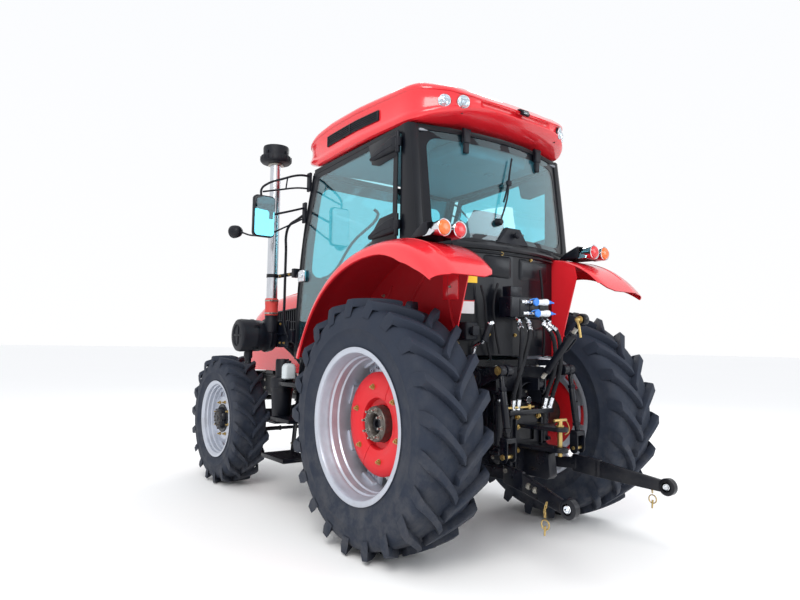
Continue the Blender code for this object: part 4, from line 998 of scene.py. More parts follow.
def addRearWindowGear():
    parts = []
    for y in (0.335, -0.335):  # the two hinges at the top of the rear window
        p = glassPoint(rearGlass, y / 0.652, 2.53)
        block = addBox((p.x - 0.040, p.y - 0.026, 2.505), (p.x - 0.006, p.y + 0.026, 2.590), 0.008, 3)
        nose = addBox((p.x - 0.034, p.y - 0.019, 2.440), (p.x - 0.008, p.y + 0.019, 2.515), 0.007, 3)
        barrel = addDrum((p.x - 0.024, p.y - 0.030, 2.588), (p.x - 0.024, p.y + 0.030, 2.588), 0.013, around=20, bevel=0.002)
        parts += [block, nose, barrel]
    p = glassPoint(rearGlass, 0, 1.93)
    # the latch at the foot, on a raised boss with sloping sides
    boss = addSkin([[Vector((p.x - d, y, z)) for y, z in ((-0.150 + e, 1.886), (-0.070 + e, 1.990 - e), (0.070 - e, 1.990 - e), (0.150 - e, 1.886))] for d, e in ((0.004, 0.0), (0.016, 0.012))], closed=True)
    capEnds(boss)
    knob = addSpin([(0.0, -0.060), (0.012, -0.060), (0.020, -0.052), (0.022, -0.040), (0.016, -0.034), (0.013, -0.014), (0.0, -0.014)], (p.x, 0.0, 1.940), "X", 24)
    parts += [boss, knob]
    ready(merge(parts), "rear_window_fittings", blackPlastic, "chassis")
    # wiper: motor cap, arm and blade parked across the glass
    hub = glassPoint(rearGlass, 0.20, 2.015)
    tip = glassPoint(rearGlass, -0.02, 2.400)
    out = Vector((-1, 0, 0))
    cap = addSpin([(0.0, -0.045), (0.015, -0.044), (0.021, -0.036), (0.023, -0.014), (0.026, -0.006), (0.0, -0.006)], (hub.x, hub.y, hub.z), "X", 24)
    middle = hub.lerp(tip, 0.5) + out * 0.050
    arm = addTube([hub + out * 0.030, hub.lerp(tip, 0.25) + out * 0.046, middle, hub.lerp(tip, 0.66) + out * 0.040], 0.0058, 8)
    top, foot = hub.lerp(tip, 1.18), hub.lerp(tip, 0.36)
    blade = addTube([foot + out * 0.026, middle + out * -0.018, top + out * 0.022], 0.0062, 8)
    wings = [addTube([hub.lerp(tip, a) + out * 0.030, hub.lerp(tip, 0.70) + out * 0.040, hub.lerp(tip, b) + out * 0.028], 0.0042, 8) for a, b in ((0.48, 0.92), (0.56, 0.84))]
    fork = addBox(hub.lerp(tip, 0.70) + Vector((-0.050, -0.018, -0.016)), hub.lerp(tip, 0.70) + Vector((-0.030, 0.018, 0.016)), 0.004)
    ready(merge([cap, arm, blade, fork] + wings), "rear_wiper", blackPlastic, "chassis")


door = {"border": 0.026, "thickness": 0.006, "glassY": 0.716, "axis": (-0.05, 0.735)}


def doorLine(inset=0.0):  # the door's edge as (x, z), the same line its glass is cut to
    over = [bezierPoint([(0.91 + inset, 1.165 + inset), (0.78 + inset, 1.56 + inset), (0.36 + inset, 1.87 + inset), (-0.03 + inset, 1.875 + inset)], k / 20) for k in range(21)]
    top = [Vector((-0.03 + inset, 2.565 - inset)), Vector((0.985 - inset, 2.50 - inset))]
    front = [Vector((1.165 - inset, 2.0)), Vector((1.245 - inset, 1.35)), Vector((1.25 - inset, 1.165 + inset))]
    return over + top + front


def addDoor(side, s):
    body = f"door_{side}"

    def sheet(low, high, inset):
        a, b = sorted((low * s, high * s))
        return addPlate([(at(p.x, 0, 0).x, p.y) for p in doorLine(inset)], "Y", a, b)
    pane = sheet(0.7125, 0.7180, 0.003)
    ready(pane, f"door_pane_{side}", cabGlass, body, 30, stands=[f"door_{side}"])
    # rubber edge and printed border, laid along the outline
    line = [at(p.x, 0.716 * s, p.y) for p in doorLine(0.004)]
    edge = addTube(line, 0.0065, 8, closed=True, smooth=False)
    ready(edge, f"door_edge_seal_{side}", softRubber, body)
    outer, inner = doorLine(0.006), doorLine(0.042)
    border = addSkin([[at(p.x, 0.7188 * s, p.y) for p in outer], [at(p.x, 0.7188 * s, p.y) for p in inner]], 0.0012, closed=True)
    tube = addTube([at(p.x, 0.706 * s, p.y) for p in [q for q in doorLine(0.050)][:21]], 0.010, 10)
    ready(tube, f"door_inner_rail_{side}", blackPowder, body)
    ready(border, f"door_ceramic_edge_{side}", blackPowder, body, stands=[f"door_frame_{side}"])
    covers = []
    hx, hy = door["axis"]
    for low, high in ((1.905, 2.020), (2.425, 2.535)):
        mid = (low + high) / 2
        rows = []
        for x, lo, hi, y in ((-0.030, low + 0.006, high, 0.742), (0.020, low + 0.004, high - 0.004, 0.744), (0.110, low + 0.000, high - 0.024, 0.741), (0.215, low - 0.004, high - 0.056, 0.735), (0.268, low + 0.000, high - 0.078, 0.726)):
            rows.append([at(x, 0.7205 * s, lo), at(x, (y - 0.008) * s, lo + 0.004), at(x, y * s, lo + 0.014), at(x, y * s, hi - 0.014), at(x, (y - 0.008) * s, hi - 0.004), at(x, 0.7205 * s, hi)])
        cover = capEnds(addSkin(rows))
        softenEdges(cover, 0.003, 2, 30)
        groove = addTube([at(0.0, 0.7435 * s, mid - 0.010), at(0.12, 0.7405 * s, mid - 0.022), at(0.22, 0.735 * s, mid - 0.038)], 0.003, 6)
        knuckle = addDrum(at(hx, hy * s, low - 0.012), at(hx, hy * s, high + 0.012), 0.014, around=20, bevel=0.002)
        covers += [cover, groove, knuckle]
        covers.append(addBox(at(-0.075, min(0.722 * s, 0.744 * s), mid - 0.030), at(-0.030, max(0.722 * s, 0.744 * s), mid + 0.030), 0.005))
    ready(merge(covers), f"door_hinges_{side}", blackPlastic, body)
    # the black corner plate that the lower hinge stands on
    corner = [(-0.028, 1.879), (0.165, 1.868), (0.245, 1.846), (0.215, 1.965), (0.150, 2.030), (-0.028, 2.050)]
    a, b = sorted((0.7186 * s, 0.7215 * s))
    low = addPlate([(at(x, 0, 0).x, z) for x, z in corner], "Y", a, b, 0.0008)
    upper = addPlate([(at(x, 0, 0).x, z) for x, z in ((-0.026, 2.560), (0.290, 2.542), (0.250, 2.40), (0.165, 2.375), (-0.026, 2.400))], "Y", a, b, 0.0008)
    ready(merge([low, upper]), f"door_corner_plates_{side}", blackPowder, body)
    grip = merge([
        addBox(at(1.095, min(0.722 * s, 0.752 * s), 1.690), at(1.190, max(0.722 * s, 0.752 * s), 1.780), 0.014, 3),
        addBox(at(1.105, min(0.748 * s, 0.762 * s), 1.718), at(1.170, max(0.748 * s, 0.762 * s), 1.750), 0.006, 3),
    ])
    ready(grip, f"door_handle_{side}", chrome, body)
    button = addDrum(at(1.172, 0.750 * s, 1.735), at(1.172, 0.766 * s, 1.735), 0.012, around=24, bevel=0.003)
    ready(button, f"door_lock_{side}", blackPlastic, body)
    latch = addBox(at(1.120, min(0.664 * s, 0.711 * s), 1.49), at(1.215, max(0.664 * s, 0.711 * s), 1.60), 0.01, 2)
    ready(latch, f"door_latch_{side}", blackPlastic, body)
    bar = addTube([at(0.22, 0.7115 * s, 2.10), at(0.24, 0.670 * s, 2.08), at(0.55, 0.665 * s, 1.93), at(0.86, 0.665 * s, 1.72), at(0.88, 0.7115 * s, 1.70)], 0.010, 10)
    ready(bar, f"door_pull_bar_{side}", blackPlastic, body)


def addPostTrim(side, s):
    # the rear post's moulded outer face and the rubber the door closes on
    rows = []
    for z, x in ((1.850, -0.205), (2.10, -0.178), (2.35, -0.148), (2.595, -0.115)):
        rows.append([at(x - 0.010, 0.640 * s, z), at(x - 0.016, 0.668 * s, z), at(x - 0.004, 0.699 * s, z), at(x + 0.030, 0.7085 * s, z), at(-0.075, 0.7085 * s, z), at(-0.068, 0.698 * s, z)])
    post = addSkin(rows, 0.005)
    ready(post, f"rear_post_cover_{side}", blackPowder, "chassis", 35)
    line = [at(p.x, 0.7055 * s, p.y) for p in doorLine(0.016)]
    ready(addTube(line, 0.0045, 8, closed=True, smooth=False), f"door_opening_seal_{side}", softRubber, "chassis")
    strip = [at(x, 0.703 * s, z) for x, z in ((1.292, 1.16), (1.284, 1.34), (1.196, 2.02), (1.058, 2.50))]
    ready(addTube(strip, 0.007, 8), f"front_post_bead_{side}", softRubber, "chassis")


addRearWindowGear()
for side, s in sides.items():
    addDoor(side, s)
    addPostTrim(side, s)
print("cab glass and doors made")

# Cab interior

seat = {"cushionLow": (0.02, -0.25, 1.445), "cushionHigh": (0.50, 0.25, 1.565), "backHalf": 0.235, "voxel": 0.009, "most": 0.020}


def addPad(name, rings, finish, body, stands, quilt):
    """rings of a closed form are skinned, filled with pressure as cloth and quilted"""
    pad = capEnds(addSkin(rings, closed=True))
    useModifier(pad, "REMESH", mode="VOXEL", voxel_size=seat["voxel"], adaptivity=0.0)
    before = [v.co.copy() for v in pad.data.vertices]
    pickOnly(pad)
    cloth = pad.modifiers.new("cloth", "CLOTH")
    cloth.settings.use_pressure = True
    cloth.settings.uniform_pressure_force = 4.0
    cloth.settings.effector_weights.gravity = 0.0
    cloth.settings.quality = 4
    for step in range(1, 21):
        bpy.context.scene.frame_set(step)
    bpy.ops.object.modifier_apply(modifier="cloth")
    bpy.context.scene.frame_set(1)
    for v, start in zip(pad.data.vertices, before):
        move = v.co - start
        if move.length > seat["most"]:
            v.co = start + move.normalized() * seat["most"]
    for v in pad.data.vertices:
        v.co += quilt(v.co, v.normal)
    useModifier(pad, "SUBSURF", levels=1, render_levels=1)
    ready(pad, name, finish, body, 70, stands=stands)
    return pad


# Woven polyester over foam: dark grey, soft and matt, with a fine crossing weave drawn 2 mm wide to show
seatCloth = makeFinish("woven_seat_cloth", ("23272F", "343A45"), (0.8, 0.95), grainMm=4, bumpMm=0.5, bumpGrainMm=2, sheen=0.35)


def grooves(value, lines, width):
    return sum(math.exp(-((value - line) / width) ** 2) for line in lines)


def addSeat():
    low, high = at(*seat["cushionLow"]), at(*seat["cushionHigh"])
    rings = []
    for z, pull in ((low.z + 0.006, 0.030), (low.z + 0.030, 0.014), (low.z + 0.075, 0.012), (high.z - 0.030, 0.026), (high.z - 0.012, 0.060)):
        ring = []
        for y, x in roundedLoop(low.x + pull, high.x - pull, low.y + pull, high.y - pull, 0.05, 6):
            dish = 0.016 * (1 - ((y / 0.25) ** 2)) if z > high.z - 0.02 else 0.0
            ring.append(Vector((x, y, z - dish)))
        rings.append(ring)

    def quilt(p, n):
        top = easedStep(1.52, 1.55, p.z)
        return n * -0.006 * top * min(grooves(p.y, (-0.15, 0.15), 0.007) + grooves(p.x - rearAxle.x, (0.16, 0.27, 0.38), 0.007) * (abs(p.y) < 0.15), 1.0)
    addPad("seat_cushion_quilted", rings, seatCloth, "chassis", ["seat_cushion"], quilt)
    rings = []
    for k in range(9):
        t = k / 8
        z = 1.590 + 0.560 * t
        x = 0.030 - 0.105 * t
        deep = 0.040 * (1 - 0.25 * t) - (0.018 if k in (0, 8) else 0)
        half = seat["backHalf"] * (0.90 + 0.10 * math.sin(math.pi * min(t * 1.3, 1))) * (1 - 0.42 * max(t - 0.72, 0) / 0.28)
        rings.append([at(x + deep * 0.8 * math.cos(a), half * math.copysign(abs(math.sin(a)) ** 0.6, math.sin(a)), z) for a in (math.tau * j / 28 for j in range(28))])

    def quiltBack(p, n):
        front = 1.0 if n.x > 0.2 else 0.0
        return n * -0.006 * front * min(grooves(p.y, (-0.13, 0.13), 0.007) + grooves(p.z, (1.70, 1.80, 1.90, 2.00), 0.007) * (abs(p.y) < 0.13), 1.0)
    addPad("seat_back_quilted", rings, seatCloth, "chassis", ["seat_back"], quiltBack)
    shell = addSkin([[at(0.030 - 0.105 * t - 0.046 + 0.02 * abs(u) ** 2, 0.205 * u * (1 - 0.35 * max(t - 0.7, 0) / 0.3), 1.60 + 0.53 * t) for u in [-1 + 0.2 * j for j in range(11)]] for t in [k / 8 for k in range(9)]], 0.006)
    ready(shell, "seat_back_shell", blackPlastic, "chassis", 50)
    boot = []
    for k in range(7):  # the gaiter round the seat's suspension
        z = 1.285 + 0.022 * k
        half = 0.150 + (0.012 if k % 2 else 0.0)
        boot.append([Vector((x, y, z)) for y, x in roundedLoop(at(0.25, 0, 0).x - half, at(0.25, 0, 0).x + half, -half - 0.02, half + 0.02, 0.04, 4)])
    bellows = capEnds(addSkin(boot, closed=True))
    plinth = addBox(at(0.08, -0.19, 1.142), at(0.42, 0.19, 1.30), 0.02, 3)
    rail = addBox(at(0.06, -0.17, 1.415), at(0.46, 0.17, 1.438), 0.006)
    ready(merge([bellows, plinth, rail]), "seat_suspension", blackPlastic, "chassis", 40, stands=["seat_base"])
    for side, s in sides.items():
        arm = addBox(at(-0.02, min(0.262 * s, 0.315 * s), 1.735), at(0.30, max(0.262 * s, 0.315 * s), 1.775), 0.016, 3)
        bracket = addBox(at(-0.04, min(0.245 * s, 0.27 * s), 1.66), at(0.01, max(0.245 * s, 0.27 * s), 1.75), 0.006)
        ready(merge([arm, bracket]), f"seat_armrest_{side}", blackPlastic, "chassis")


def addControls():
    lean = Vector((-0.5, 0, 0.866))
    middle = at(0.80, 0, 1.92)
    place = Matrix.Translation(middle) @ lean.to_track_quat("Z", "Y").to_matrix().to_4x4()
    rim = addSpin([(0.190 + 0.0145 * math.cos(a), 0.0145 * math.sin(a)) for a in (math.tau * k / 12 for k in range(12))], (0, 0, 0), "Z", 72, closed=True)
    hub = addSpin([(0.0, 0.012), (0.030, 0.011), (0.044, 0.004), (0.046, -0.010), (0.030, -0.030), (0.0, -0.032)], (0, 0, 0), "Z", 40)
    spokes = []
    for k in range(3):
        a = math.tau * k / 3 + 0.5
        spokes.append(addTube([(0.03 * math.cos(a), 0.03 * math.sin(a), -0.008), (0.10 * math.cos(a), 0.10 * math.sin(a), -0.012), (0.188 * math.cos(a), 0.188 * math.sin(a), 0)], 0.0085, 10))
    wheel = merge([rim, hub] + spokes)
    wheel.data.transform(place)
    ready(wheel, "steering_wheel_rim", blackPlastic, "steering_wheel", stands=["steering_wheel"])
    cowl = addSkin([[at(x, y, z) for x, y, z in ((1.160, -w, z0), (1.160, w, z0), (x1, w * 0.8, z0), (x1, -w * 0.8, z0))] for z0, w, x1 in ((1.142, 0.190, 1.030), (1.35, 0.175, 1.015), (1.52, 0.165, 0.985), (1.62, 0.170, 0.965), (1.655, 0.155, 0.985))], closed=True)
    capEnds(cowl)
    softenEdges(cowl, 0.02, 3, 30)
    column = addDrum(middle - lean * 0.46, middle - lean * 0.036, 0.052, 0.034, 32, 0.004)
    stalk = addTube([middle - lean * 0.10, middle - lean * 0.09 + Vector((0.0, 0.09, 0.0)), middle - lean * 0.07 + Vector((0.0, 0.15, 0.0))], 0.006, 8)
    pod = addBox(at(0.945, -0.13, 1.63), at(1.10, 0.13, 1.69), 0.02, 3)
    ready(merge([cowl, column, stalk, pod]), "console_cowl", blackPlastic, "chassis", 40, stands=["dashboard"])
    dials = [addSpin([(0.0, -0.003), (0.026, -0.003), (0.030, -0.006), (0.033, -0.002), (0.033, 0.002), (0.0, 0.002)], at(0.944, y, 1.66), "X", 32) for y in (-0.075, 0.0, 0.075)]
    ready(merge(dials), "console_dials", whitePlastic, "chassis")
    pedals = []
    for y in (-0.15, -0.05, 0.14):
        pedals.append(addBox(at(0.925, y - 0.032, 1.235), at(0.94, y + 0.032, 1.315), 0.006))
        pedals.append(addTube([at(0.94, y, 1.28), at(1.0, y, 1.22), at(1.05, y, 1.20)], 0.008, 8))
    levers = []
    for x, y, z, dx in ((0.62, 0.17, 1.50, 0.05), (0.30, -0.40, 1.74, 0.06), (0.22, -0.43, 1.74, 0.05), (0.42, -0.38, 1.66, 0.05)):
        levers.append(addTube([at(x + dx, y, z - 0.34), at(x + dx * 0.6, y, z - 0.1), at(x, y, z - 0.02)], 0.006, 8))
        levers.append(addBall(at(x, y, z), 0.020, 16, (1, 1, 1.25)))
    ready(merge(pedals + levers), "pedals_and_levers", blackPlastic, "chassis")
    side = addBox(at(0.02, -0.475, 1.142), at(0.62, -0.345, 1.50), 0.03, 3)
    side2 = addBox(at(0.02, 0.345, 1.142), at(0.60, 0.475, 1.42), 0.03, 3)
    ready(merge([side, side2]), "side_consoles", greyTrim, "chassis")
    mat = [addBox(at(0.02, -0.47, 1.141), at(1.24, 0.47, 1.148), 0.003)]
    mat += [addBox(at(0.45, -0.34 + 0.04 * k, 1.148), at(0.98, -0.325 + 0.04 * k, 1.152), 0.001) for k in range(17)]
    ready(merge(mat), "floor_mat", softRubber, "chassis")
    painted_shade_lining = addSkin([[at(x, y, 2.555 + 0.03 * (1 - (y / 0.66) ** 2) - 0.03 * max(x, 0)) for y in [-0.64 + 0.128 * k for k in range(11)]] for x in [-0.15 + 0.12 * k for k in range(11)]], 0.012)
    box = addBox(at(-0.16, -0.32, 2.47), at(0.16, 0.32, 2.57), 0.03, 3)
    vents = [addSpin([(0.012, -0.004), (0.030, -0.006), (0.036, 0.0), (0.030, 0.004), (0.012, 0.002)], at(0.10, y, 2.466), "Z", 24, closed=True) for y in (-0.2, 0.2)]
    ready(merge([painted_shade_lining, box] + vents), "roof_lining", greyTrim, "chassis", 40)
    inside = addSkin([[at(-0.205 - 0.078 * (1 - (y / 0.484) ** 2), y, z) for y in [-0.47 + 0.094 * k for k in range(11)]] for z in (1.18, 1.84)], 0.008)
    ready(inside, "rear_wall_trim", greyTrim, "chassis", 40)


addSeat()
addControls()
for node, finish in {"cab_frame": blackPowder, "cab_floor": blackEnamel}.items():
    cad[node].data.materials.clear()
    cad[node].data.materials.append(finish)
print("cab interior made")

# Three-point linkage, trailer hitch and the gear behind the cab

liftArm = {"axis": (-0.27, 1.03), "tip": (-0.53, 1.085), "inner": 0.245, "outer": 0.275}


def addLiftArms():
    ax, az = liftArm["axis"]
    tx, tz = liftArm["tip"]
    parts = [addDrum(at(ax, -0.286, az), at(ax, 0.286, az), 0.040, around=40, bevel=0.004)]
    pins = []
    for s in (1, -1):
        low, high = sorted((liftArm["inner"] * s, liftArm["outer"] * s))
        outline = [(ax + 0.02, az - 0.058), (ax + 0.058, az - 0.01), (ax + 0.045, az + 0.045), (ax, az + 0.064), (ax - 0.05, az + 0.052),
                   (tx + 0.06, tz + 0.026), (tx + 0.01, tz + 0.036), (tx - 0.028, tz + 0.020), (tx - 0.034, tz - 0.008), (tx - 0.018, tz - 0.030), (tx + 0.03, tz - 0.030), (ax - 0.06, az - 0.046), (ax - 0.03, az - 0.062)]
        parts.append(addPlate([(at(x, 0, 0).x, z) for x, z in outline], "Y", low, high, 0.005, 3))
        parts.append(addDrum(at(ax, 0.236 * s, az), at(ax, 0.284 * s, az), 0.059, around=40, bevel=0.005))
        parts.append(addDrum(at(tx, 0.236 * s, tz), at(tx, 0.284 * s, tz), 0.034, around=32, bevel=0.004))
        parts.append(addSpin([(0.022, -0.002 * s), (0.050, -0.002 * s), (0.050, 0.006 * s), (0.022, 0.006 * s)], at(ax, 0.2845 * s, az), "Y", 40, closed=True))
        pins.append(addDrum(at(tx, 0.27 * s, tz), at(tx, 0.345 * s, tz), 0.0145, around=24, bevel=0.003))
        pins.append(addDrum(at(tx, 0.3385 * s, tz), at(tx, 0.3425 * s, tz), 0.025, around=24))
        pins.append(addTube([at(tx, 0.341 * s, tz - 0.026), at(tx, 0.341 * s, tz + 0.026)], 0.0025, 8))
        pins.append(addBolt(at(ax, 0.288 * s, az), (0, s, 0), 0.017))
    ready(merge(parts), "lift_arm_forgings", blackEnamel, "lift_arms", 40, stands=["lift_arms"])
    ready(merge(pins), "lift_arm_pins", yellowZinc, "lift_arms")


liftRod = {"y": 0.315, "foot": (-0.59, 0.60)}


def addLiftRod(side, s):
    body = f"lift_rod_{side}"
    tx, tz = liftArm["tip"]
    fx, fz = liftRod["foot"]
    y = liftRod["y"] * s
    top, foot = at(tx, y, tz), at(fx, y, fz + 0.095)
    along = (foot - top).normalized()
    eye = addSpin([(0.0165, -0.024), (0.030, -0.024), (0.034, -0.016), (0.034, 0.016), (0.030, 0.024), (0.0165, 0.024)], top, "Y", 32, closed=True)
    shank = addDrum(top + along * 0.026, foot, 0.0155, around=24, bevel=0.002)
    sleeve = addDrum(top + along * 0.120, top + along * 0.330, 0.0215, around=32, bevel=0.003)
    nuts = [addDrum(top + along * a, top + along * (a + 0.022), 0.026, around=6, bevel=0.002) for a in (0.096, 0.332)]
    grease = addDrum(top + along * 0.2 + Vector((-0.02, 0, 0)), top + along * 0.2 + Vector((-0.032, 0, 0)), 0.004, 0.003, 12)
    yoke = [addBox(at(fx - 0.030, y - 0.040, fz + 0.076), at(fx + 0.030, y + 0.040, fz + 0.108), 0.008, 3)]
    for d in (-1, 1):
        outline = [(fx - 0.030, fz + 0.09), (fx - 0.030, fz - 0.008), (fx - 0.020, fz - 0.028), (fx, fz - 0.035), (fx + 0.020, fz - 0.028), (fx + 0.030, fz - 0.008), (fx + 0.030, fz + 0.09)]
        low, high = sorted((y + d * 0.0295, y + d * 0.040))
        yoke.append(addPlate([(at(a, 0, 0).x, b) for a, b in outline], "Y", low, high, 0.003))
    ready(merge([eye, shank, sleeve, grease] + nuts + yoke), f"lift_rod_{side}_forging", blackEnamel, body, 40, stands=[f"lift_rod_{side}"])
    pin = addDrum(at(fx, y - 0.046, fz), at(fx, y + 0.046, fz), 0.011, around=20, bevel=0.002)
    head = addDrum(at(fx, y + 0.041 * s, fz), at(fx, y + 0.050 * s, fz), 0.018, around=6, bevel=0.002)
    ready(merge([pin, head]), f"lift_rod_{side}_pin", yellowZinc, body)


lowerLink = {"pivot": (-0.22, 0.265, 0.48), "waist": (-0.59, 0.315, 0.505), "knee": (-0.74, 0.347, 0.49), "ball": (-1.12, 0.443, 0.44)}


def chainAt(path, pitch, wire, side=1):  # a chain of plain oval links along a path
    links = []
    lengths = [0.0]
    for a, b in zip(path, path[1:]):
        lengths.append(lengths[-1] + (b - a).length)
    count = int(lengths[-1] / pitch)
    oval = [(math.cos(a) * pitch * 0.36, math.sin(a) * pitch * 0.36 + (pitch * 0.28 if math.sin(a) > 0 else -pitch * 0.28)) for a in (math.tau * k / 12 for k in range(12))]
    link = addTube([Vector((x, 0, z)) for x, z in oval], wire, 6, closed=True, smooth=False)
    for k in range(count):
        want = pitch * (k + 0.5)
        j = max(i for i, length in enumerate(lengths[:-1]) if length <= want)
        t = (want - lengths[j]) / (lengths[j + 1] - lengths[j])
        spot = path[j].lerp(path[j + 1], t)
        turn = (path[j + 1] - path[j]).to_track_quat("Z", "Y").to_matrix().to_4x4()
        links.append(copyOf(link, Matrix.Translation(spot) @ turn @ Matrix.Rotation(math.pi / 2 * (k % 2), 4, "Z")))
    bpy.data.objects.remove(link)
    return merge(links)


def addLowerLink(side, s):
    body = f"lower_link_{side}"
    pivot, waist, knee, ball = (Vector((rearAxle.x + x, y * s, z)) for x, y, z in (lowerLink[k] for k in ("pivot", "waist", "knee", "ball")))
    parts = [addSpin([(0.0235, -0.024), (0.038, -0.024), (0.042, -0.017), (0.042, 0.017), (0.038, 0.024), (0.0235, 0.024)], pivot, "Y", 32, closed=True)]

    def bar(a, b, deepA, deepB, thick):
        rows = []
        for p, deep in ((a, deepA), (b, deepB)):
            rows.append([p + Vector((0, dy * thick, dz * deep)) for dy, dz in ((-1, -1), (1, -1), (1, 1), (-1, 1))])
        made = capEnds(addSkin(rows, closed=True))
        return softenEdges(made, 0.005, 3, 40)
    parts.append(bar(pivot + Vector((-0.03, 0, 0)), waist, 0.030, 0.036, 0.013))
    parts.append(bar(waist + Vector((0.03, -0.004 * s, 0)), knee, 0.052, 0.054, 0.0135))
    parts.append(bar(knee + Vector((0.03, -0.008 * s, 0)), ball + Vector((0.035, -0.004 * s, 0)), 0.052, 0.034, 0.0125))
    collar = [(0.029, -0.023), (0.040, -0.024), (0.0485, -0.018), (0.0495, 0.018), (0.040, 0.024), (0.029, 0.023)]
    parts.append(addSpin(collar, ball, "Y", 40, closed=True))
    plates = []
    for x in (-0.80, -0.86):
        plates.append(addBolt(at(x, (0.347 + (0.74 + x) * -0.2526 + 0.013) * s, 0.482 + (0.80 + x) * 0.13), (0, s, 0), 0.016, 0.006))
    ready(merge(parts), f"lower_link_{side}_bar", blackEnamel, body, 40, stands=[f"lower_link_{side}"])
    inner = addSpin([(0.0143, -0.024), (0.018, -0.0245), (0.026, -0.016), (0.0285, 0.0), (0.026, 0.016), (0.018, 0.0245), (0.0143, 0.024)], ball, "Y", 40, closed=True)
    plates.append(addDrum(waist + Vector((0, 0.014 * s, 0.020)), waist + Vector((0, 0.026 * s, 0.020)), 0.014, around=6, bevel=0.002))
    ready(merge(plates), f"lower_link_{side}_bolts", clearZinc, body)
    ready(inner, f"lower_link_{side}_ball", chrome, body)
    # the linch pin that hangs on its chain from the end of the link
    hang = ball + Vector((0.120, 0.026 * s, 0.012))
    path = [hang, hang + Vector((0.004, 0.012 * s, -0.040)), hang + Vector((0.0, 0.012 * s, -0.085))]
    ready(chainAt(path, 0.015, 0.0026), f"linch_chain_{side}", yellowZinc, body)
    ring = addTube([path[-1] + Vector((0.024 * math.cos(a), 0, 0.024 * math.sin(a) - 0.024)) for a in (math.tau * k / 16 for k in range(16))], 0.0035, 8, closed=True)
    peg = addDrum(path[-1] + Vector((0, 0, -0.030)), path[-1] + Vector((0.004, 0, -0.078)), 0.006, 0.0045, 16)
    ready(merge([ring, peg]), f"linch_pin_{side}", yellowZinc, body)


topLink = {"foot": (-0.50, 1.00), "end": (-0.83, 1.39), "y": -0.05}


def addTopLink():
    foot, end = at(topLink["foot"][0], topLink["y"], topLink["foot"][1]), at(topLink["end"][0], topLink["y"], topLink["end"][1])
    along = (end - foot).normalized()
    far = (end - foot).length
    barrel = addSpin([(0.0, 0.0)], foot, "Y", 3) if False else None
    body = [addDrum(foot + along * far * 0.21, foot + along * far * 0.79, 0.0235, around=32, bevel=0.003)]
    for a, b in ((0.195, 0.235), (0.765, 0.805)):
        body.append(addDrum(foot + along * far * a, foot + along * far * b, 0.027, around=6, bevel=0.003))
    eyes = [
        addSpin([(0.0145, -0.022), (0.026, -0.022), (0.030, -0.014), (0.030, 0.014), (0.026, 0.022), (0.0145, 0.022)], foot, "Y", 32, closed=True),
        addSpin([(0.022, -0.021), (0.031, -0.022), (0.036, -0.014), (0.036, 0.014), (0.031, 0.022), (0.022, 0.021)], end, "Y", 36, closed=True),
    ]
    necks = [addDrum(foot + along * 0.024, foot + along * 0.050, 0.019, 0.015, 24), addDrum(end - along * 0.060, end - along * 0.030, 0.015, 0.022, 24)]
    handle = addTube([foot + along * far * 0.52 + Vector((0, -0.022, 0)), foot + along * far * 0.52 + Vector((0, -0.045, 0)), foot + along * far * 0.62 + Vector((0, -0.060, 0)), foot + along * far * 0.72 + Vector((0, -0.060, 0))], 0.006, 8)
    ready(merge(body + eyes + necks + [handle]), "top_link_barrel", blackEnamel, "top_link", 40, stands=["top_link"])

    def thread(start, finish, radius):  # a screw thread as one helix of ridges round its core
        core = addDrum(start, finish, radius * 0.86, around=20)
        length = (finish - start).length
        turns = int(length / 0.005)
        ridge = addSpin([(radius * 0.84, -0.0018), (radius, 0.0), (radius * 0.84, 0.0018)], (0, 0, 0), "Z", 20)
        turn = (finish - start).to_track_quat("Z", "Y").to_matrix().to_4x4()
        rows = [copyOf(ridge, Matrix.Translation(start.lerp(finish, (k + 0.5) / turns)) @ turn) for k in range(turns)]
        bpy.data.objects.remove(ridge)
        return merge([core] + rows)
    screws = merge([thread(foot + along * 0.045, foot + along * far * 0.20, 0.0135), thread(foot + along * far * 0.80, end - along * 0.055, 0.0135)])
    ready(screws, "top_link_screws", clearZinc, "top_link", 60)
    inner = addSpin([(0.0133, -0.022), (0.017, -0.0225), (0.0215, -0.012), (0.0225, 0.0), (0.0215, 0.012), (0.017, 0.0225), (0.0133, 0.022)], end, "Y", 32, closed=True)
    ready(inner, "top_link_ball", chrome, "top_link")
    pin = merge([
        addDrum(end + Vector((0, -0.038, 0)), end + Vector((0, 0.060, 0)), 0.0115, around=20, bevel=0.002),
        addDrum(end + Vector((0, 0.024, 0)), end + Vector((0, 0.029, 0)), 0.022, around=24, bevel=0.001),
        addTube([end + Vector((0, 0.056, -0.0)), end + Vector((-0.02, 0.062, -0.035)), end + Vector((-0.032, 0.060, -0.105))], 0.0075, 10),
    ])
    ready(pin, "top_link_pin", yellowZinc, "top_link")


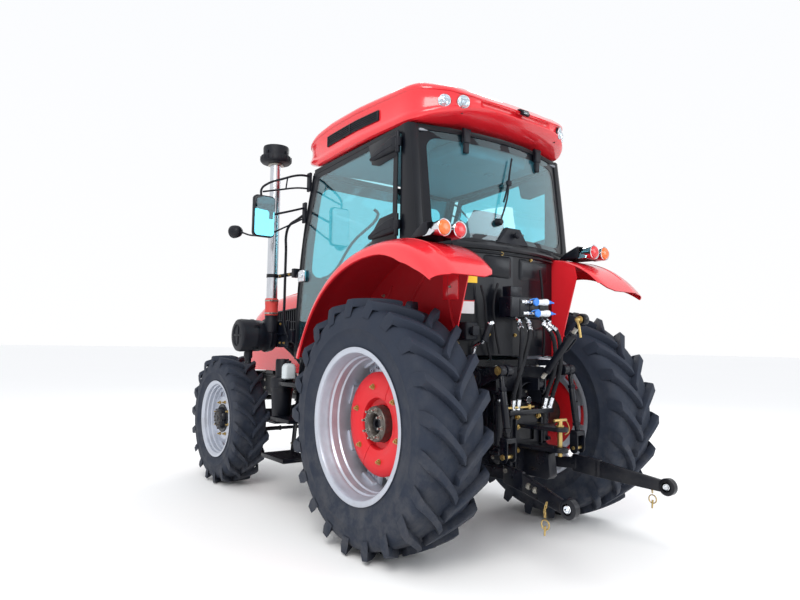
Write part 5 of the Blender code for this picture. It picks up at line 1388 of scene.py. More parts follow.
def addHitch():
    plates = []
    outline = [(-0.150, 0.43), (-0.120, 0.42), (0.120, 0.42), (0.150, 0.43), (0.150, 0.80), (0.118, 0.83), (-0.118, 0.83), (-0.150, 0.80)]
    back = addPlate(outline, "X", at(-0.456, 0, 0).x, at(-0.362, 0, 0).x, 0.008, 3)
    window = addBox(at(-0.6, -0.060, 0.655), at(-0.440, 0.060, 0.720), 0.0)
    cutAway(back, [window])
    plates.append(back)
    tongue = [(-0.706 - 0.050 * math.sin(a), 0.046 * math.cos(a)) for a in (math.pi * k / 10 for k in range(11))] + [(-0.45, -0.080), (-0.45, 0.080)]
    for low, high in ((0.615, 0.640), (0.735, 0.760)):
        plates.append(addPlate([(at(x, 0, 0).x, y) for x, y in tongue], "Z", low, high, 0.003))
    plates.append(addPlate([(at(x, 0, 0).x, z) for x, z in ((-0.45, 0.612), (-0.60, 0.618), (-0.645, 0.600), (-0.66, 0.47), (-0.64, 0.45), (-0.45, 0.45))], "Y", -0.034, 0.034, 0.004))
    for y in (-0.125, 0.108):
        plates.append(addBox(at(-0.475, y, 0.46), at(-0.455, y + 0.017, 0.79), 0.004))
    plates.append(addSpin([(0.0168, 0.0), (0.036, 0.0), (0.036, 0.0055), (0.0168, 0.0055)], at(-0.706, 0, 0.640), "Z", 32, closed=True))
    ready(merge(plates), "drawbar_hitch_weldment", blackEnamel, "chassis", 40, stands=["drawbar_hitch"])
    bolts = [at(-0.456, y, z) for y in (-0.095, 0.095) for z in (0.47, 0.60, 0.74, 0.80)]
    ready(boltsAt(bolts, (-1, 0, 0), 0.016, 0.006), "drawbar_hitch_bolts", yellowZinc, "chassis")
    pin = merge([
        addDrum(at(-0.706, 0, 0.59), at(-0.706, 0, 0.80), 0.0143, around=32, bevel=0.004),
        addDrum(at(-0.706, 0, 0.7606), at(-0.706, 0, 0.7715), 0.0235, around=32, bevel=0.002),
        addDrum(at(-0.706, -0.056, 0.80), at(-0.706, 0.056, 0.80), 0.0095, around=20, bevel=0.003),
        addTube([at(-0.706, -0.050, 0.80), at(-0.72, -0.060, 0.77), at(-0.73, -0.050, 0.735), at(-0.72, -0.028, 0.715)], 0.0035, 8),
    ])
    ready(pin, "hitch_pin_tee", yellowZinc, "chassis", stands=["hitch_pin"])
    cross = merge([addDrum(at(-0.488, -0.02, 0.860), at(-0.488, 0.225, 0.860), 0.008, around=16, bevel=0.002), addDrum(at(-0.488, 0.02, 0.846), at(-0.488, 0.02, 0.874), 0.012, around=16, bevel=0.002)])
    ready(cross, "sensing_bar", yellowZinc, "chassis")


def addCastingDetail():  # bolts, ribs, covers and seams on the gearbox and axle casings
    ribs, bolts = [], []
    for y in (-0.172, 0.172):
        s = 1 if y > 0 else -1
        for x in (-0.28, -0.14, 0.14, 0.28, 0.42, 0.56):
            low, high = sorted((y, y + 0.010 * s))
            ribs.append(addBox(at(x - 0.007, low, 0.54), at(x + 0.007, high, 1.00), 0.003))
        spots = [at(x, y + 0.000 * s, z) for x in (-0.33, -0.21, 0.21, 0.35, 0.49, 0.59) for z in (0.985, 0.545)]
        bolts.append(boltsAt(spots, (0, s, 0), 0.011))
        flange = addSpin([(0.100, 0.0), (0.150, 0.0), (0.153, 0.004 * s), (0.153, 0.020 * s), (0.148, 0.024 * s), (0.100, 0.024 * s)], at(0, 0.1705 * s, rearAxle.z), "Y", 48, closed=True)
        ribs.append(flange)
        bolts.append(boltsAt([Vector((p.x, 0.1945 * s, p.z)) for p in ringOf(at(0, 0, rearAxle.z), "Y", 0.137, 12, 0.1)], (0, s, 0), 0.009))
        ribs.append(addSpin([(0.112, 0.0), (0.119, 0.0), (0.119, -0.018 * s), (0.112, -0.018 * s)], at(0, 0.619 * s, rearAxle.z), "Y", 48, closed=True))
        bolts.append(boltsAt([Vector((p.x, 0.6195 * s, p.z)) for p in ringOf(at(0, 0, rearAxle.z), "Y", 0.100, 10, 0.2)], (0, s, 0), 0.007))
        for k in range(4):
            fin = addBox(at(-0.006, min(0.24 * s, 0.56 * s), rearAxle.z + 0.06), at(0.006, max(0.24 * s, 0.56 * s), rearAxle.z + 0.122), 0.002)
            fin.data.transform(turnAbout(at(0, 0, rearAxle.z), "Y", math.pi / 2 * k + 0.5))
            ribs.append(fin)
    joint = addPlate([(-0.163, 0.515), (0.163, 0.515), (0.163, 0.935), (-0.163, 0.935)], "X", at(0.622, 0, 0).x, at(0.640, 0, 0).x, 0.006)
    joint2 = addPlate([(-0.175, 0.505), (0.175, 0.505), (0.175, 0.945), (-0.175, 0.945)], "X", at(1.282, 0, 0).x, at(1.304, 0, 0).x, 0.006)
    cover = addBox(at(-0.372, -0.120, 0.62), at(-0.360, 0.120, 0.80), 0.005, 3)
    pto = addSpin([(0.045, -0.002), (0.078, -0.002), (0.082, -0.008), (0.082, -0.026), (0.070, -0.034), (0.045, -0.034)], at(-0.362, 0, 0.90), "X", 48, closed=True)
    ribs += [joint, joint2, pto]
    bpy.data.objects.remove(cover)
    ready(merge(ribs), "casting_ribs", blackEnamel, "chassis", 40)
    bolts.append(boltsAt([Vector((at(-0.396, 0, 0).x, p.y, p.z)) for p in ringOf(at(0, 0, 0.90), "X", 0.068, 6, 0.3)], (-1, 0, 0), 0.008))
    bolts.append(boltsAt([at(x, y, 1.0997) for x in (-0.37, -0.21, -0.05) for y in (-0.19, 0.19)], (0, 0, 1), 0.011))
    ready(merge(bolts), "casting_bolts", clearZinc, "chassis")
    splines = [addBox(at(-0.468, -0.0035, 0.915), at(-0.405, 0.0035, 0.9205), 0.001)]
    for k in range(1, 8):
        splines.append(copyOf(splines[0], turnAbout(at(0, 0, 0.90), "X", math.tau * k / 8)))
    guard = addSkin([[at(x, math.sin(a) * r, 0.90 + math.cos(a) * r) for a in (math.radians(-100 + 200 * k / 20) for k in range(21))] for x, r in ((-0.392, 0.085), (-0.43, 0.100), (-0.475, 0.110))], 0.005)
    ready(merge(splines), "power_take_off_splines", chrome, "chassis")
    ready(guard, "power_take_off_guard", blackPlastic, "chassis")


hoses = {"radius": 0.0135, "wrap": 0.0032, "pitch": 0.016}


def addHose(name, points, radius=None, body="chassis"):  # a spiral-wrapped pressure hose between two fittings
    r = radius or hoses["radius"]
    points = [at(*p) for p in points]
    core = addTube(points, r, 14)
    # the wrap is a helix laid round the hose's own path
    knots = []
    for i in range(len(points) - 1):
        a, b = points[max(i - 1, 0)], points[i]
        c, d = points[i + 1], points[min(i + 2, len(points) - 1)]
        for k in range(24):
            t = k / 24
            knots.append(0.5 * (2 * b + (c - a) * t + (2 * a - 5 * b + 4 * c - d) * t * t + (3 * b - a - 3 * c + d) * t ** 3))
    knots.append(points[-1])
    coil, angle = [], 0.0
    side = Vector((0, 1, 0))
    for p, q in zip(knots, knots[1:]):
        along = (q - p)
        angle += math.tau * along.length / hoses["pitch"]
        along = along.normalized()
        side = (side - along * side.dot(along)).normalized()
        up = along.cross(side)
        coil.append(p + (side * math.cos(angle) + up * math.sin(angle)) * r)
    wrap = addTube(coil, hoses["wrap"], 6, smooth=False)
    ready(merge([core, wrap]), name, softRubber, body, 60)
    for end, (a, b) in (("top", (points[0], points[1])), ("foot", (points[-1], points[-2]))):
        along = (b - a).normalized()
        fitting = [addDrum(a - along * 0.012, a + along * 0.052, r * 1.15, around=20, bevel=0.001)]
        fitting += [addDrum(a + along * d, a + along * (d + 0.004), r * 1.28, around=20) for d in (0.014, 0.024, 0.034, 0.044)]
        fitting.append(addDrum(a - along * 0.020, a - along * 0.002, r * 1.35, around=6, bevel=0.001))
        ready(merge(fitting), f"{name}_{end}_fitting", chrome, body)


def addCouplers():
    block = addBox(at(-0.4695, -0.185, 1.405), at(-0.362, 0.165, 1.535), 0.008, 3)
    lid = [addBox(at(-0.474, y - 0.040, 1.415), at(-0.4655, y + 0.040, 1.525), 0.006, 3) for y in (-0.13, -0.04, 0.05)]
    tower = addBox(at(-0.452, 0.045, 1.530), at(-0.380, 0.150, 1.600), 0.006)
    ready(merge([block, tower] + lid), "hydraulic_valve_body", blackEnamel, "chassis", 40, stands=["hydraulic_block"])
    metal, white, blue = [], [], []
    for z, y in ((1.505, -0.005), (1.435, -0.020)):
        root = at(-0.474, y, z)
        metal.append(addDrum(root + Vector((0, 0.085, 0)), root + Vector((0, -0.01, 0)), 0.011, around=20, bevel=0.002))
        metal.append(addDrum(root + Vector((0, 0.060, 0)), root + Vector((0, 0.040, 0)), 0.017, around=6, bevel=0.002))
        metal.append(addDrum(root + Vector((-0.004, -0.012, 0)), root + Vector((-0.010, -0.036, 0)), 0.018, around=6, bevel=0.002))
        white.append(addDrum(root + Vector((-0.010, -0.036, 0)), root + Vector((-0.016, -0.100, 0.004)), 0.0165, 0.0185, 28, 0.003))
        white.append(addDrum(root + Vector((-0.016, -0.100, 0.004)), root + Vector((-0.020, -0.135, 0.006)), 0.0205, around=28, bevel=0.003))
        blue.append(addDrum(root + Vector((-0.020, -0.135, 0.006)), root + Vector((-0.022, -0.170, 0.006)), 0.0135, 0.010, 24, 0.003))
        blue.append(addDrum(root + Vector((-0.022, -0.170, 0.006)), root + Vector((-0.023, -0.196, 0.004)), 0.007, 0.004, 16))
        cap = addSpin([(0.0, -0.006), (0.022, -0.006), (0.025, -0.002), (0.024, 0.006), (0.017, 0.010), (0.0, 0.010)], root + Vector((-0.030, -0.020, 0.002)), "X", 28)
        blue.append(cap)
        blue.append(addTube([root + Vector((-0.026, -0.02, 0.02)), root + Vector((-0.034, 0.01, 0.02)), root + Vector((-0.02, 0.03, 0.01))], 0.003, 6))
    ready(merge(metal), "coupler_bodies", chrome, "chassis")
    ready(merge(white), "coupler_sleeves", whitePlastic, "chassis")
    ready(merge(blue), "coupler_dust_caps", bluePlastic, "chassis")
    # rigid pipe with its neck and sealed cap
    pipe = addTube([at(-0.280, 0.332, 1.150), at(-0.308, 0.332, 1.160), at(-0.320, 0.332, 1.190), at(-0.332, 0.332, 1.224), at(-0.365, 0.332, 1.242), at(-0.395, 0.331, 1.254), at(-0.405, 0.330, 1.280)], 0.013, 12)
    ready(pipe, "filler_pipe", stainless, "chassis")
    neck = addDrum(at(-0.405, 0.330, 1.255), at(-0.412, 0.290, 1.360), 0.021, 0.018, 24, 0.003)
    ready(neck, "filler_neck", blackPlastic, "chassis")
    cap = addSpin([(0.0, 0.012), (0.020, 0.011), (0.025, 0.005), (0.026, -0.006), (0.022, -0.012), (0.0, -0.012)], (0, 0, 0), "Z", 28)
    cap.data.transform(Matrix.Translation(at(-0.414, 0.285, 1.368)) @ Matrix.Rotation(math.radians(-20), 4, "X"))
    ready(cap, "filler_cap", chrome, "chassis")


def addRearWall():  # pressed panels, catches, labels and cables on the wall under the rear window
    def wallX(y):
        return -0.245 - 0.085 * (1 - (y / 0.4847) ** 2)
    pressings = []
    for low, high, left, right in ((1.66, 1.80, -0.40, -0.06), (1.66, 1.80, 0.02, 0.24), (1.50, 1.72, 0.30, 0.44), (1.22, 1.36, -0.34, 0.34)):
        loop = roundedLoop(low, high, left, right, 0.02, 4)
        inner = roundedLoop(low + 0.02, high - 0.02, left + 0.02, right - 0.02, 0.012, 4)
        rows = []
        for pts, out in ((loop, 0.000), (inner, 0.012)):
            rows.append([at(wallX(y) - out - 0.001, y, z) for y, z in pts])
        pressings.append(capEnds(addSkin(rows, closed=True)))
    bar = addTube([at(wallX(y) - 0.012, y, 1.845) for y in [-0.47 + 0.094 * k for k in range(11)]], 0.014, 10)
    lip = addTube([at(wallX(y) - 0.010, y, 1.815) for y in [-0.47 + 0.094 * k for k in range(11)]], 0.007, 8)
    ready(merge(pressings + [bar, lip]), "rear_wall_pressings", blackPowder, "chassis", 40)
    spots = [(0.10, 1.815), (-0.18, 1.80), (-0.02, 1.30), (0.20, 1.30), (-0.30, 1.48), (0.42, 1.24)]
    ready(merge([addBolt(at(wallX(y) - 0.002, y, z), (-1, 0, 0), 0.010, 0.004) for y, z in spots]), "rear_wall_bolts", yellowZinc, "chassis")
    for name, finish, y0, y1, z0, z1 in (("caution_label", yellowLabel, 0.300, 0.370, 1.615, 1.715), ("plain_label", whiteLabel, 0.310, 0.410, 1.425, 1.515), ("plain_label_stripe", redLens, 0.310, 0.410, 1.500, 1.518)):
        off = 0.0155 if name == "caution_label" else 0.003 if name == "plain_label" else 0.004
        label = addSkin([[at(wallX(y) - off, y, z) for y in [y0 + (y1 - y0) * k / 4 for k in range(5)]] for z in (z0, z1)], 0.001)
        ready(label, name, finish, "chassis")
    # wiring looms, clipped to the wall
    looms = [
        [(-0.345, 0.30, 1.60), (-0.352, 0.27, 1.50), (-0.352, 0.26, 1.38), (-0.345, 0.24, 1.24), (-0.335, 0.20, 1.14)],
        [(-0.350, -0.24, 1.74), (-0.352, -0.26, 1.60), (-0.348, -0.27, 1.44), (-0.335, -0.30, 1.28), (-0.325, -0.30, 1.16)],
        [(-0.352, 0.16, 1.62), (-0.356, 0.20, 1.50), (-0.352, 0.18, 1.34), (-0.352, 0.14, 1.18)],
    ]
    ready(merge([addTube([at(*p) for p in loom], 0.008, 8) for loom in looms]), "rear_wiring_looms", softRubber, "chassis")
    box = addBox(at(-0.385, 0.355, 1.26), at(-0.300, 0.455, 1.37), 0.012, 3)
    socket = merge([box, addDrum(at(-0.385, 0.405, 1.315), at(-0.412, 0.405, 1.315), 0.028, around=28, bevel=0.003), addBox(at(-0.419, 0.378, 1.290), at(-0.411, 0.432, 1.345), 0.004)])
    ready(socket, "trailer_socket", blackPlastic, "chassis")


def addLiftCylinder(side, s):  # assistor cylinder from the casing up to the lift arm, drawn with its rod home
    foot, head = at(-0.405, 0.205 * s, 0.60), at(-0.415, 0.205 * s, 0.93)
    along = (head - foot).normalized()
    tube = addDrum(foot + along * 0.03, head - along * 0.06, 0.030, around=32, bevel=0.004)
    gland = addDrum(head - along * 0.062, head - along * 0.035, 0.033, around=32, bevel=0.003)
    eye = addSpin([(0.011, -0.018), (0.026, -0.018), (0.028, 0.0), (0.026, 0.018), (0.011, 0.018)], foot, "Y", 28, closed=True)
    top = addSpin([(0.011, -0.016), (0.024, -0.016), (0.026, 0.0), (0.024, 0.016), (0.011, 0.016)], head, "Y", 28, closed=True)
    port = addDrum(foot + along * 0.05 + Vector((-0.02, 0, 0)), foot + along * 0.05 + Vector((-0.052, 0, 0)), 0.013, around=20, bevel=0.002)
    bracket = addBox(at(-0.43, min(0.165 * s, 0.228 * s), 0.575), at(-0.355, max(0.165 * s, 0.228 * s), 0.60), 0.004)
    strap = addBox(at(-0.44, min(0.165 * s, 0.228 * s), 0.935), at(-0.365, max(0.165 * s, 0.228 * s), 0.955), 0.004)
    ready(merge([tube, gland, eye, top, port, bracket, strap]), f"assist_cylinder_{side}", blackEnamel, "chassis", 40)
    rod = addDrum(head - along * 0.036, head - along * 0.012, 0.014, around=24)
    ready(rod, f"assist_cylinder_rod_{side}", chrome, "chassis")


addLiftArms()
addTopLink()
addHitch()
addCastingDetail()
addCouplers()
addRearWall()
for side, s in sides.items():
    addLiftRod(side, s)
    addLowerLink(side, s)
    addLiftCylinder(side, s)
hoseRoutes = {
    "hose_inner_left": [(-0.500, 0.125, 1.365), (-0.540, 0.150, 1.330), (-0.555, 0.165, 1.22), (-0.530, 0.155, 1.08), (-0.500, 0.120, 0.95), (-0.482, 0.115, 0.86)],
    "hose_outer_left": [(-0.500, 0.040, 1.365), (-0.530, 0.060, 1.325), (-0.545, 0.110, 1.20), (-0.540, 0.165, 1.06), (-0.505, 0.175, 0.94), (-0.485, 0.165, 0.86)],
    "hose_inner_right": [(-0.500, -0.110, 1.365), (-0.530, -0.125, 1.330), (-0.540, -0.160, 1.22), (-0.530, -0.165, 1.08), (-0.500, -0.135, 0.95), (-0.482, -0.125, 0.86)],
    "hose_outer_right": [(-0.500, -0.160, 1.365), (-0.530, -0.180, 1.335), (-0.545, -0.205, 1.22), (-0.540, -0.205, 1.08), (-0.505, -0.190, 0.95), (-0.485, -0.178, 0.86)],
}
for name, points in hoseRoutes.items():
    addHose(name, points)
elbows = [addTube([at(-0.470, y, 1.400), at(-0.485, y, 1.392), at(-0.500, y, 1.385)], 0.011, 12) for y in (0.125, 0.040, -0.110, -0.160)]
manifold = [addBox(at(-0.500, -0.200, 0.815), at(-0.458, 0.200, 0.845), 0.006)]
ready(merge(elbows), "hose_elbows", chrome, "chassis")
ready(merge(manifold), "hose_manifold", blackEnamel, "chassis")
for node, finish in {"transaxle_housing": blackEnamel}.items():
    cad[node].data.materials.clear()
    cad[node].data.materials.append(finish)
print("linkage and rear gear made")

# Hood, engine sides and the gear that stands beside them

hood = {
    "stations": [(1.320, 0.330, 0.96, 1.720), (1.700, 0.330, 0.96, 1.716), (2.000, 0.330, 0.96, 1.710), (2.300, 0.328, 0.96, 1.694), (2.550, 0.325, 0.96, 1.670),
                 (2.780, 0.321, 0.955, 1.620), (2.950, 0.315, 0.95, 1.550), (3.060, 0.307, 0.945, 1.465), (3.120, 0.300, 0.94, 1.380), (3.165, 0.289, 0.94, 1.270), (3.188, 0.280, 0.94, 1.180), (3.196, 0.274, 0.95, 1.08)],
    "wall": 0.004,
}


def hoodRing(x, half, low, high):  # one cross-section from the left foot over the top to the right foot
    shape = [(half, low), (half, low + (high - low) * 0.36), (half - 0.002, high - 0.30), (half - 0.006, high - 0.20), (half - 0.010, high - 0.155), (half - 0.020, high - 0.110), (half - 0.038, high - 0.066),
             (half - 0.066, high - 0.034), (half - 0.105, high - 0.016), (half - 0.150, high - 0.008), (half - 0.165, high + 0.000), (half - 0.200, high + 0.004), (0.0, high + 0.004)]
    shape = [(max(y, 0.0), z) for y, z in shape]
    return [at(x, y, z) for y, z in shape] + [at(x, -y, z) for y, z in reversed(shape[:-1])]


def hoodAt(x):
    table = hood["stations"]
    return [between([(row[0], row[i]) for row in table], x) for i in (1, 2, 3)]


def addHood():
    xs = [1.320 + (3.196 - 1.320) * (1 - (1 - k / 56) ** 1.35) for k in range(57)]
    rows = [hoodRing(x, *hoodAt(x)) for x in xs]
    shell = addSkin(rows, hood["wall"], offset=-1)
    holes = []
    for s in (1, -1):  # mesh openings along each side
        outline = [(1.52, 1.50), (1.56, 1.30), (1.66, 1.235), (2.60, 1.235), (2.80, 1.31), (2.74, 1.43), (2.40, 1.515), (1.60, 1.56)]
        a, b = sorted((0.20 * s, 0.40 * s))
        holes.append(addPlate([(at(x, 0, 0).x, z) for x, z in outline], "Y", a, b))
    cutAway(shell, holes)
    ready(shell, "hood_shell", redEnamel, "hood", 38, stands=["hood"])
    meshes, slats, frames = [], [], []
    for s in (1, -1):
        outline = [(1.52, 1.50), (1.56, 1.30), (1.66, 1.235), (2.60, 1.235), (2.80, 1.31), (2.74, 1.43), (2.40, 1.515), (1.60, 1.56)]
        a, b = sorted((0.300 * s, 0.304 * s))
        meshes.append(addPlate([(at(x, 0, 0).x, z) for x, z in outline], "Y", a, b))
        for k in range(30):
            x = 1.56 + 0.042 * k
            top = between([(1.52, 1.50), (1.60, 1.555), (2.40, 1.51), (2.74, 1.43), (2.80, 1.31)], x)
            foot = between([(1.52, 1.50), (1.56, 1.30), (1.66, 1.24), (2.60, 1.24), (2.80, 1.31)], x)
            if top - foot > 0.03:
                slat = addBox(at(x - 0.008, min(0.305 * s, 0.319 * s), foot), at(x + 0.008, max(0.305 * s, 0.319 * s), top), 0.003)
                slats.append(slat)
        frames.append(addTube([at(x, 0.324 * s, z) for x, z in outline], 0.007, 8, closed=True, smooth=False))
        for z in (1.33, 1.42):
            frames.append(addTube([at(1.57, 0.320 * s, z), at(2.74, 0.312 * s, z)], 0.005, 8))
    ready(merge(meshes), "hood_side_gauze", blackPowder, "hood")
    ready(merge(slats + frames), "hood_side_louvres", blackPlastic, "hood")
    nose = []
    grille = []
    outline = [(-0.235, 0.965), (0.235, 0.965), (0.250, 1.02), (0.245, 1.090), (-0.245, 1.090), (-0.250, 1.02)]
    face = addPlate([(y * 1.09, z) for y, z in outline], "X", at(3.180, 0, 0).x, at(3.196, 0, 0).x, 0.008)
    nose.append(face)
    for k in range(6):
        grille.append(addBox(at(3.190, -0.215, 0.985 + 0.017 * k), at(3.205, 0.215, 0.993 + 0.017 * k), 0.002))
    for k in range(12):  # the upper grille lies back along the nose
        t = k / 12
        z = 1.12 + 0.26 * t
        x = between([(0.94, 3.192), (1.08, 3.197), (1.18, 3.190), (1.27, 3.168), (1.38, 3.124), (1.465, 3.064)], z)
        grille.append(addBox(at(x - 0.010, -0.150, z - 0.005), at(x + 0.011, 0.150, z + 0.005), 0.002))
    ready(merge(nose + grille), "hood_front_grille", blackPlastic, "hood")
    for side, s in sides.items():
        for k, (y, z, x) in enumerate(((0.215, 1.250, 3.166), (0.205, 1.150, 3.186))):
            addWorkLamp(f"headlamp_{side}_{k + 1}", at(x - 0.004, y * s, z), (1.0, 0.22 * s, 0.05), 0.042, "hood")
    crease = []
    for s in (1, -1):
        line = [at(x, (hoodAt(x)[0] - 0.158) * s, hoodAt(x)[2] + 0.002) for x in [1.34 + 0.09 * k for k in range(18)]]
        crease.append(addTube(line, 0.006, 8))
    ready(merge(crease), "hood_top_beads", redEnamel, "hood")
    sides2 = []
    for s in (1, -1):  # lower side shields bolted beside the engine
        a, b = sorted((0.290 * s, 0.298 * s))
        sides2.append(addPlate([(at(x, 0, 0).x, z) for x, z in ((1.34, 0.955), (1.36, 0.80), (1.46, 0.72), (1.90, 0.74), (2.02, 0.955))], "Y", a, b, 0.003))
    ready(merge(sides2), "engine_side_shields", redEnamel, "chassis")
    ready(merge([boltsAt([at(x, 0.298 * s, z) for x, z in ((1.40, 0.90), (1.52, 0.78), (1.86, 0.80), (1.94, 0.90))], (0, s, 0), 0.010) for s in (1, -1)]), "engine_shield_bolts", yellowZinc, "chassis")


def addEngineDetail():
    parts, bright = [], []
    for s in (1, -1):
        for k in range(4):
            x = 1.42 + 0.17 * k
            parts.append(addBox(at(x - 0.055, min(0.2205 * s, 0.245 * s), 0.98), at(x + 0.055, max(0.2205 * s, 0.245 * s), 1.20), 0.012, 3))
        parts.append(addBox(at(1.33, min(0.2205 * s, 0.235 * s), 0.64), at(2.04, max(0.2205 * s, 0.235 * s), 0.70), 0.006))
        bright.append(boltsAt([at(1.35 + 0.075 * k, 0.235 * s, 0.67) for k in range(10)], (0, s, 0), 0.009))
        rail = addBox(at(2.10, min(0.201 * s, 0.212 * s), 0.74), at(3.02, max(0.201 * s, 0.212 * s), 0.88), 0.004)
        parts.append(rail)
        bright.append(boltsAt([at(2.20 + 0.16 * k, 0.212 * s, z) for k in range(6) for z in (0.77, 0.85)], (0, s, 0), 0.012))
    filters = [addDrum(at(1.75, -0.285, 0.76), at(1.75, -0.285, 0.93), 0.046, around=36, bevel=0.008), addDrum(at(1.90, 0.285, 0.97), at(1.90, 0.285, 1.10), 0.040, around=36, bevel=0.008)]
    parts.append(addBox(at(1.35, -0.10, 1.281), at(2.02, 0.10, 1.36), 0.02, 3))
    fins = [addBox(at(2.598, -0.225, 0.93 + 0.02 * k), at(2.604, 0.225, 0.938 + 0.02 * k), 0.001) for k in range(20)]
    ready(merge(parts + fins), "engine_covers", blackEnamel, "chassis", 40)
    ready(merge(bright), "engine_bolts", clearZinc, "chassis")
    ready(merge(filters), "engine_filters", redCasting, "chassis")


def addWeights():
    slabs = []
    for k in range(8):
        y = -0.322 + 0.0815 * k
        outline = [(3.056, 0.640), (3.075, 0.622), (3.225, 0.622), (3.246, 0.645), (3.249, 0.900), (3.230, 0.926), (3.180, 0.928), (3.165, 0.905), (3.110, 0.905), (3.095, 0.928), (3.056, 0.928)]
        slab = addPlate([(at(x, 0, 0).x, z) for x, z in outline], "Y", y, y + 0.0745, 0.007, 3)
        slabs.append(slab)
    bar = addDrum(at(3.138, -0.328, 0.912), at(3.138, 0.328, 0.912), 0.011, around=20)
    ready(merge(slabs + [bar]), "front_weight_stack", blackEnamel, "chassis", 40, stands=["front_weights"])


def addFrontAxle():
    beam, bolts = [], []
    middle = at(2.32, 0, frontAxle.z)
    profile = [(0.040, 0.545), (0.060, 0.545), (0.066, 0.50), (0.062, 0.40), (0.066, 0.25), (0.078, 0.19), (0.100, 0.11), (0.110, 0.06), (0.1105, -0.08), (0.104, -0.13), (0.080, -0.20), (0.066, -0.26), (0.062, -0.40), (0.066, -0.50), (0.060, -0.545), (0.040, -0.545)]
    beam.append(addSpin(profile, middle, "Y", 64, closed=True))
    beam.append(addSpin([(0.060, -0.02), (0.123, -0.02), (0.125, -0.016), (0.125, 0.000), (0.060, 0.000)], middle, "Y", 48, closed=True))
    bolts.append(boltsAt([Vector((p.x, 0.0, p.z)) for p in ringOf(middle, "Y", 0.116, 12, 0.1)], (0, 1, 0), 0.0075))
    for s in (1, -1):
        for low, high in ((-0.125, -0.092), (0.092, 0.125)):
            beam.append(addBox(at(2.275, min(0.49 * s, 0.638 * s), frontAxle.z + low), at(2.365, max(0.49 * s, 0.638 * s), frontAxle.z + high), 0.010, 3))
            end = high + 0.002 if high > 0 else low - 0.002
            cap = addDrum(at(2.32, 0.60 * s, frontAxle.z + (high if high > 0 else low)), at(2.32, 0.60 * s, frontAxle.z + end * 1.10), 0.030, around=28, bevel=0.002)
            beam.append(cap)
        beam.append(addBox(at(2.277, min(0.482 * s, 0.518 * s), frontAxle.z - 0.12), at(2.363, max(0.482 * s, 0.518 * s), frontAxle.z + 0.12), 0.008, 3))
    beam.append(addBox(at(2.235, -0.088, frontAxle.z + 0.05), at(2.405, 0.088, 0.664), 0.01))
    beam.append(addDrum(at(2.195, 0, 0.56), at(2.245, 0, 0.56), 0.055, 0.07, 36, 0.004))
    ready(merge(beam), "front_axle_casting", blackEnamel, "chassis", 40, stands=["front_axle_beam"])
    ready(merge(bolts), "front_axle_bolts", clearZinc, "chassis")
    for side, s in sides.items():
        pin = at(2.32, 0.60 * s, frontAxle.z)
        swivel = [
            addDrum(pin - Vector((0, 0, 0.086)), pin + Vector((0, 0, 0.086)), 0.054, around=36, bevel=0.006),
            addSpin([(a, b * s) for a, b in [(0.0, 0.0), (0.068, 0.0), (0.073, 0.053), (0.098, 0.060), (0.108, 0.068), (0.109, 0.145), (0.102, 0.150), (0.0, 0.150)]], pin, "Y", 56),
            addBox(at(2.12, min(0.587 * s, 0.613 * s), 0.481), at(2.32, max(0.587 * s, 0.613 * s), frontAxle.z - 0.055), 0.004),
            addDrum(at(2.12, 0.60 * s, 0.480), at(2.12, 0.60 * s, 0.505), 0.027, around=32, bevel=0.003),
            addDrum(at(2.12, 0.60 * s, 0.436), at(2.12, 0.60 * s, 0.482), 0.0118, around=20),
        ]
        ready(merge(swivel), f"steering_knuckle_{side}", blackEnamel, f"knuckle_{side}", 40, stands=[f"knuckle_{side}"])
        ringBolts = boltsAt([Vector((p.x, pin.y + 0.068 * s, p.z)) for p in ringOf(pin, "Y", 0.090, 8, 0.2)], (0, -s, 0), 0.007)
        ready(ringBolts, f"steering_knuckle_bolts_{side}", clearZinc, f"knuckle_{side}")
    tie = [addDrum(at(2.12, -0.52, 0.46), at(2.12, 0.52, 0.46), 0.0145, around=28, bevel=0.002)]
    for s in (1, -1):
        tie.append(addDrum(at(2.12, 0.40 * s, 0.46), at(2.12, 0.585 * s, 0.46), 0.018, around=28, bevel=0.003))
        tie.append(addDrum(at(2.12, 0.40 * s, 0.46), at(2.12, 0.385 * s, 0.46), 0.023, around=6, bevel=0.002))
        tie.append(addSpin([(0.0155, -0.017), (0.026, -0.017), (0.030, -0.008), (0.030, 0.006), (0.022, 0.013), (0.0155, 0.013)], at(2.12, 0.60 * s, 0.46), "Z", 32, closed=True))
    ready(merge(tie), "tie_rod_tube", blackEnamel, "tie_rod", 40, stands=["tie_rod"])


intake = {"x": 1.52, "y": 0.80, "radius": 0.0435, "foot": 1.441, "top": 2.640}


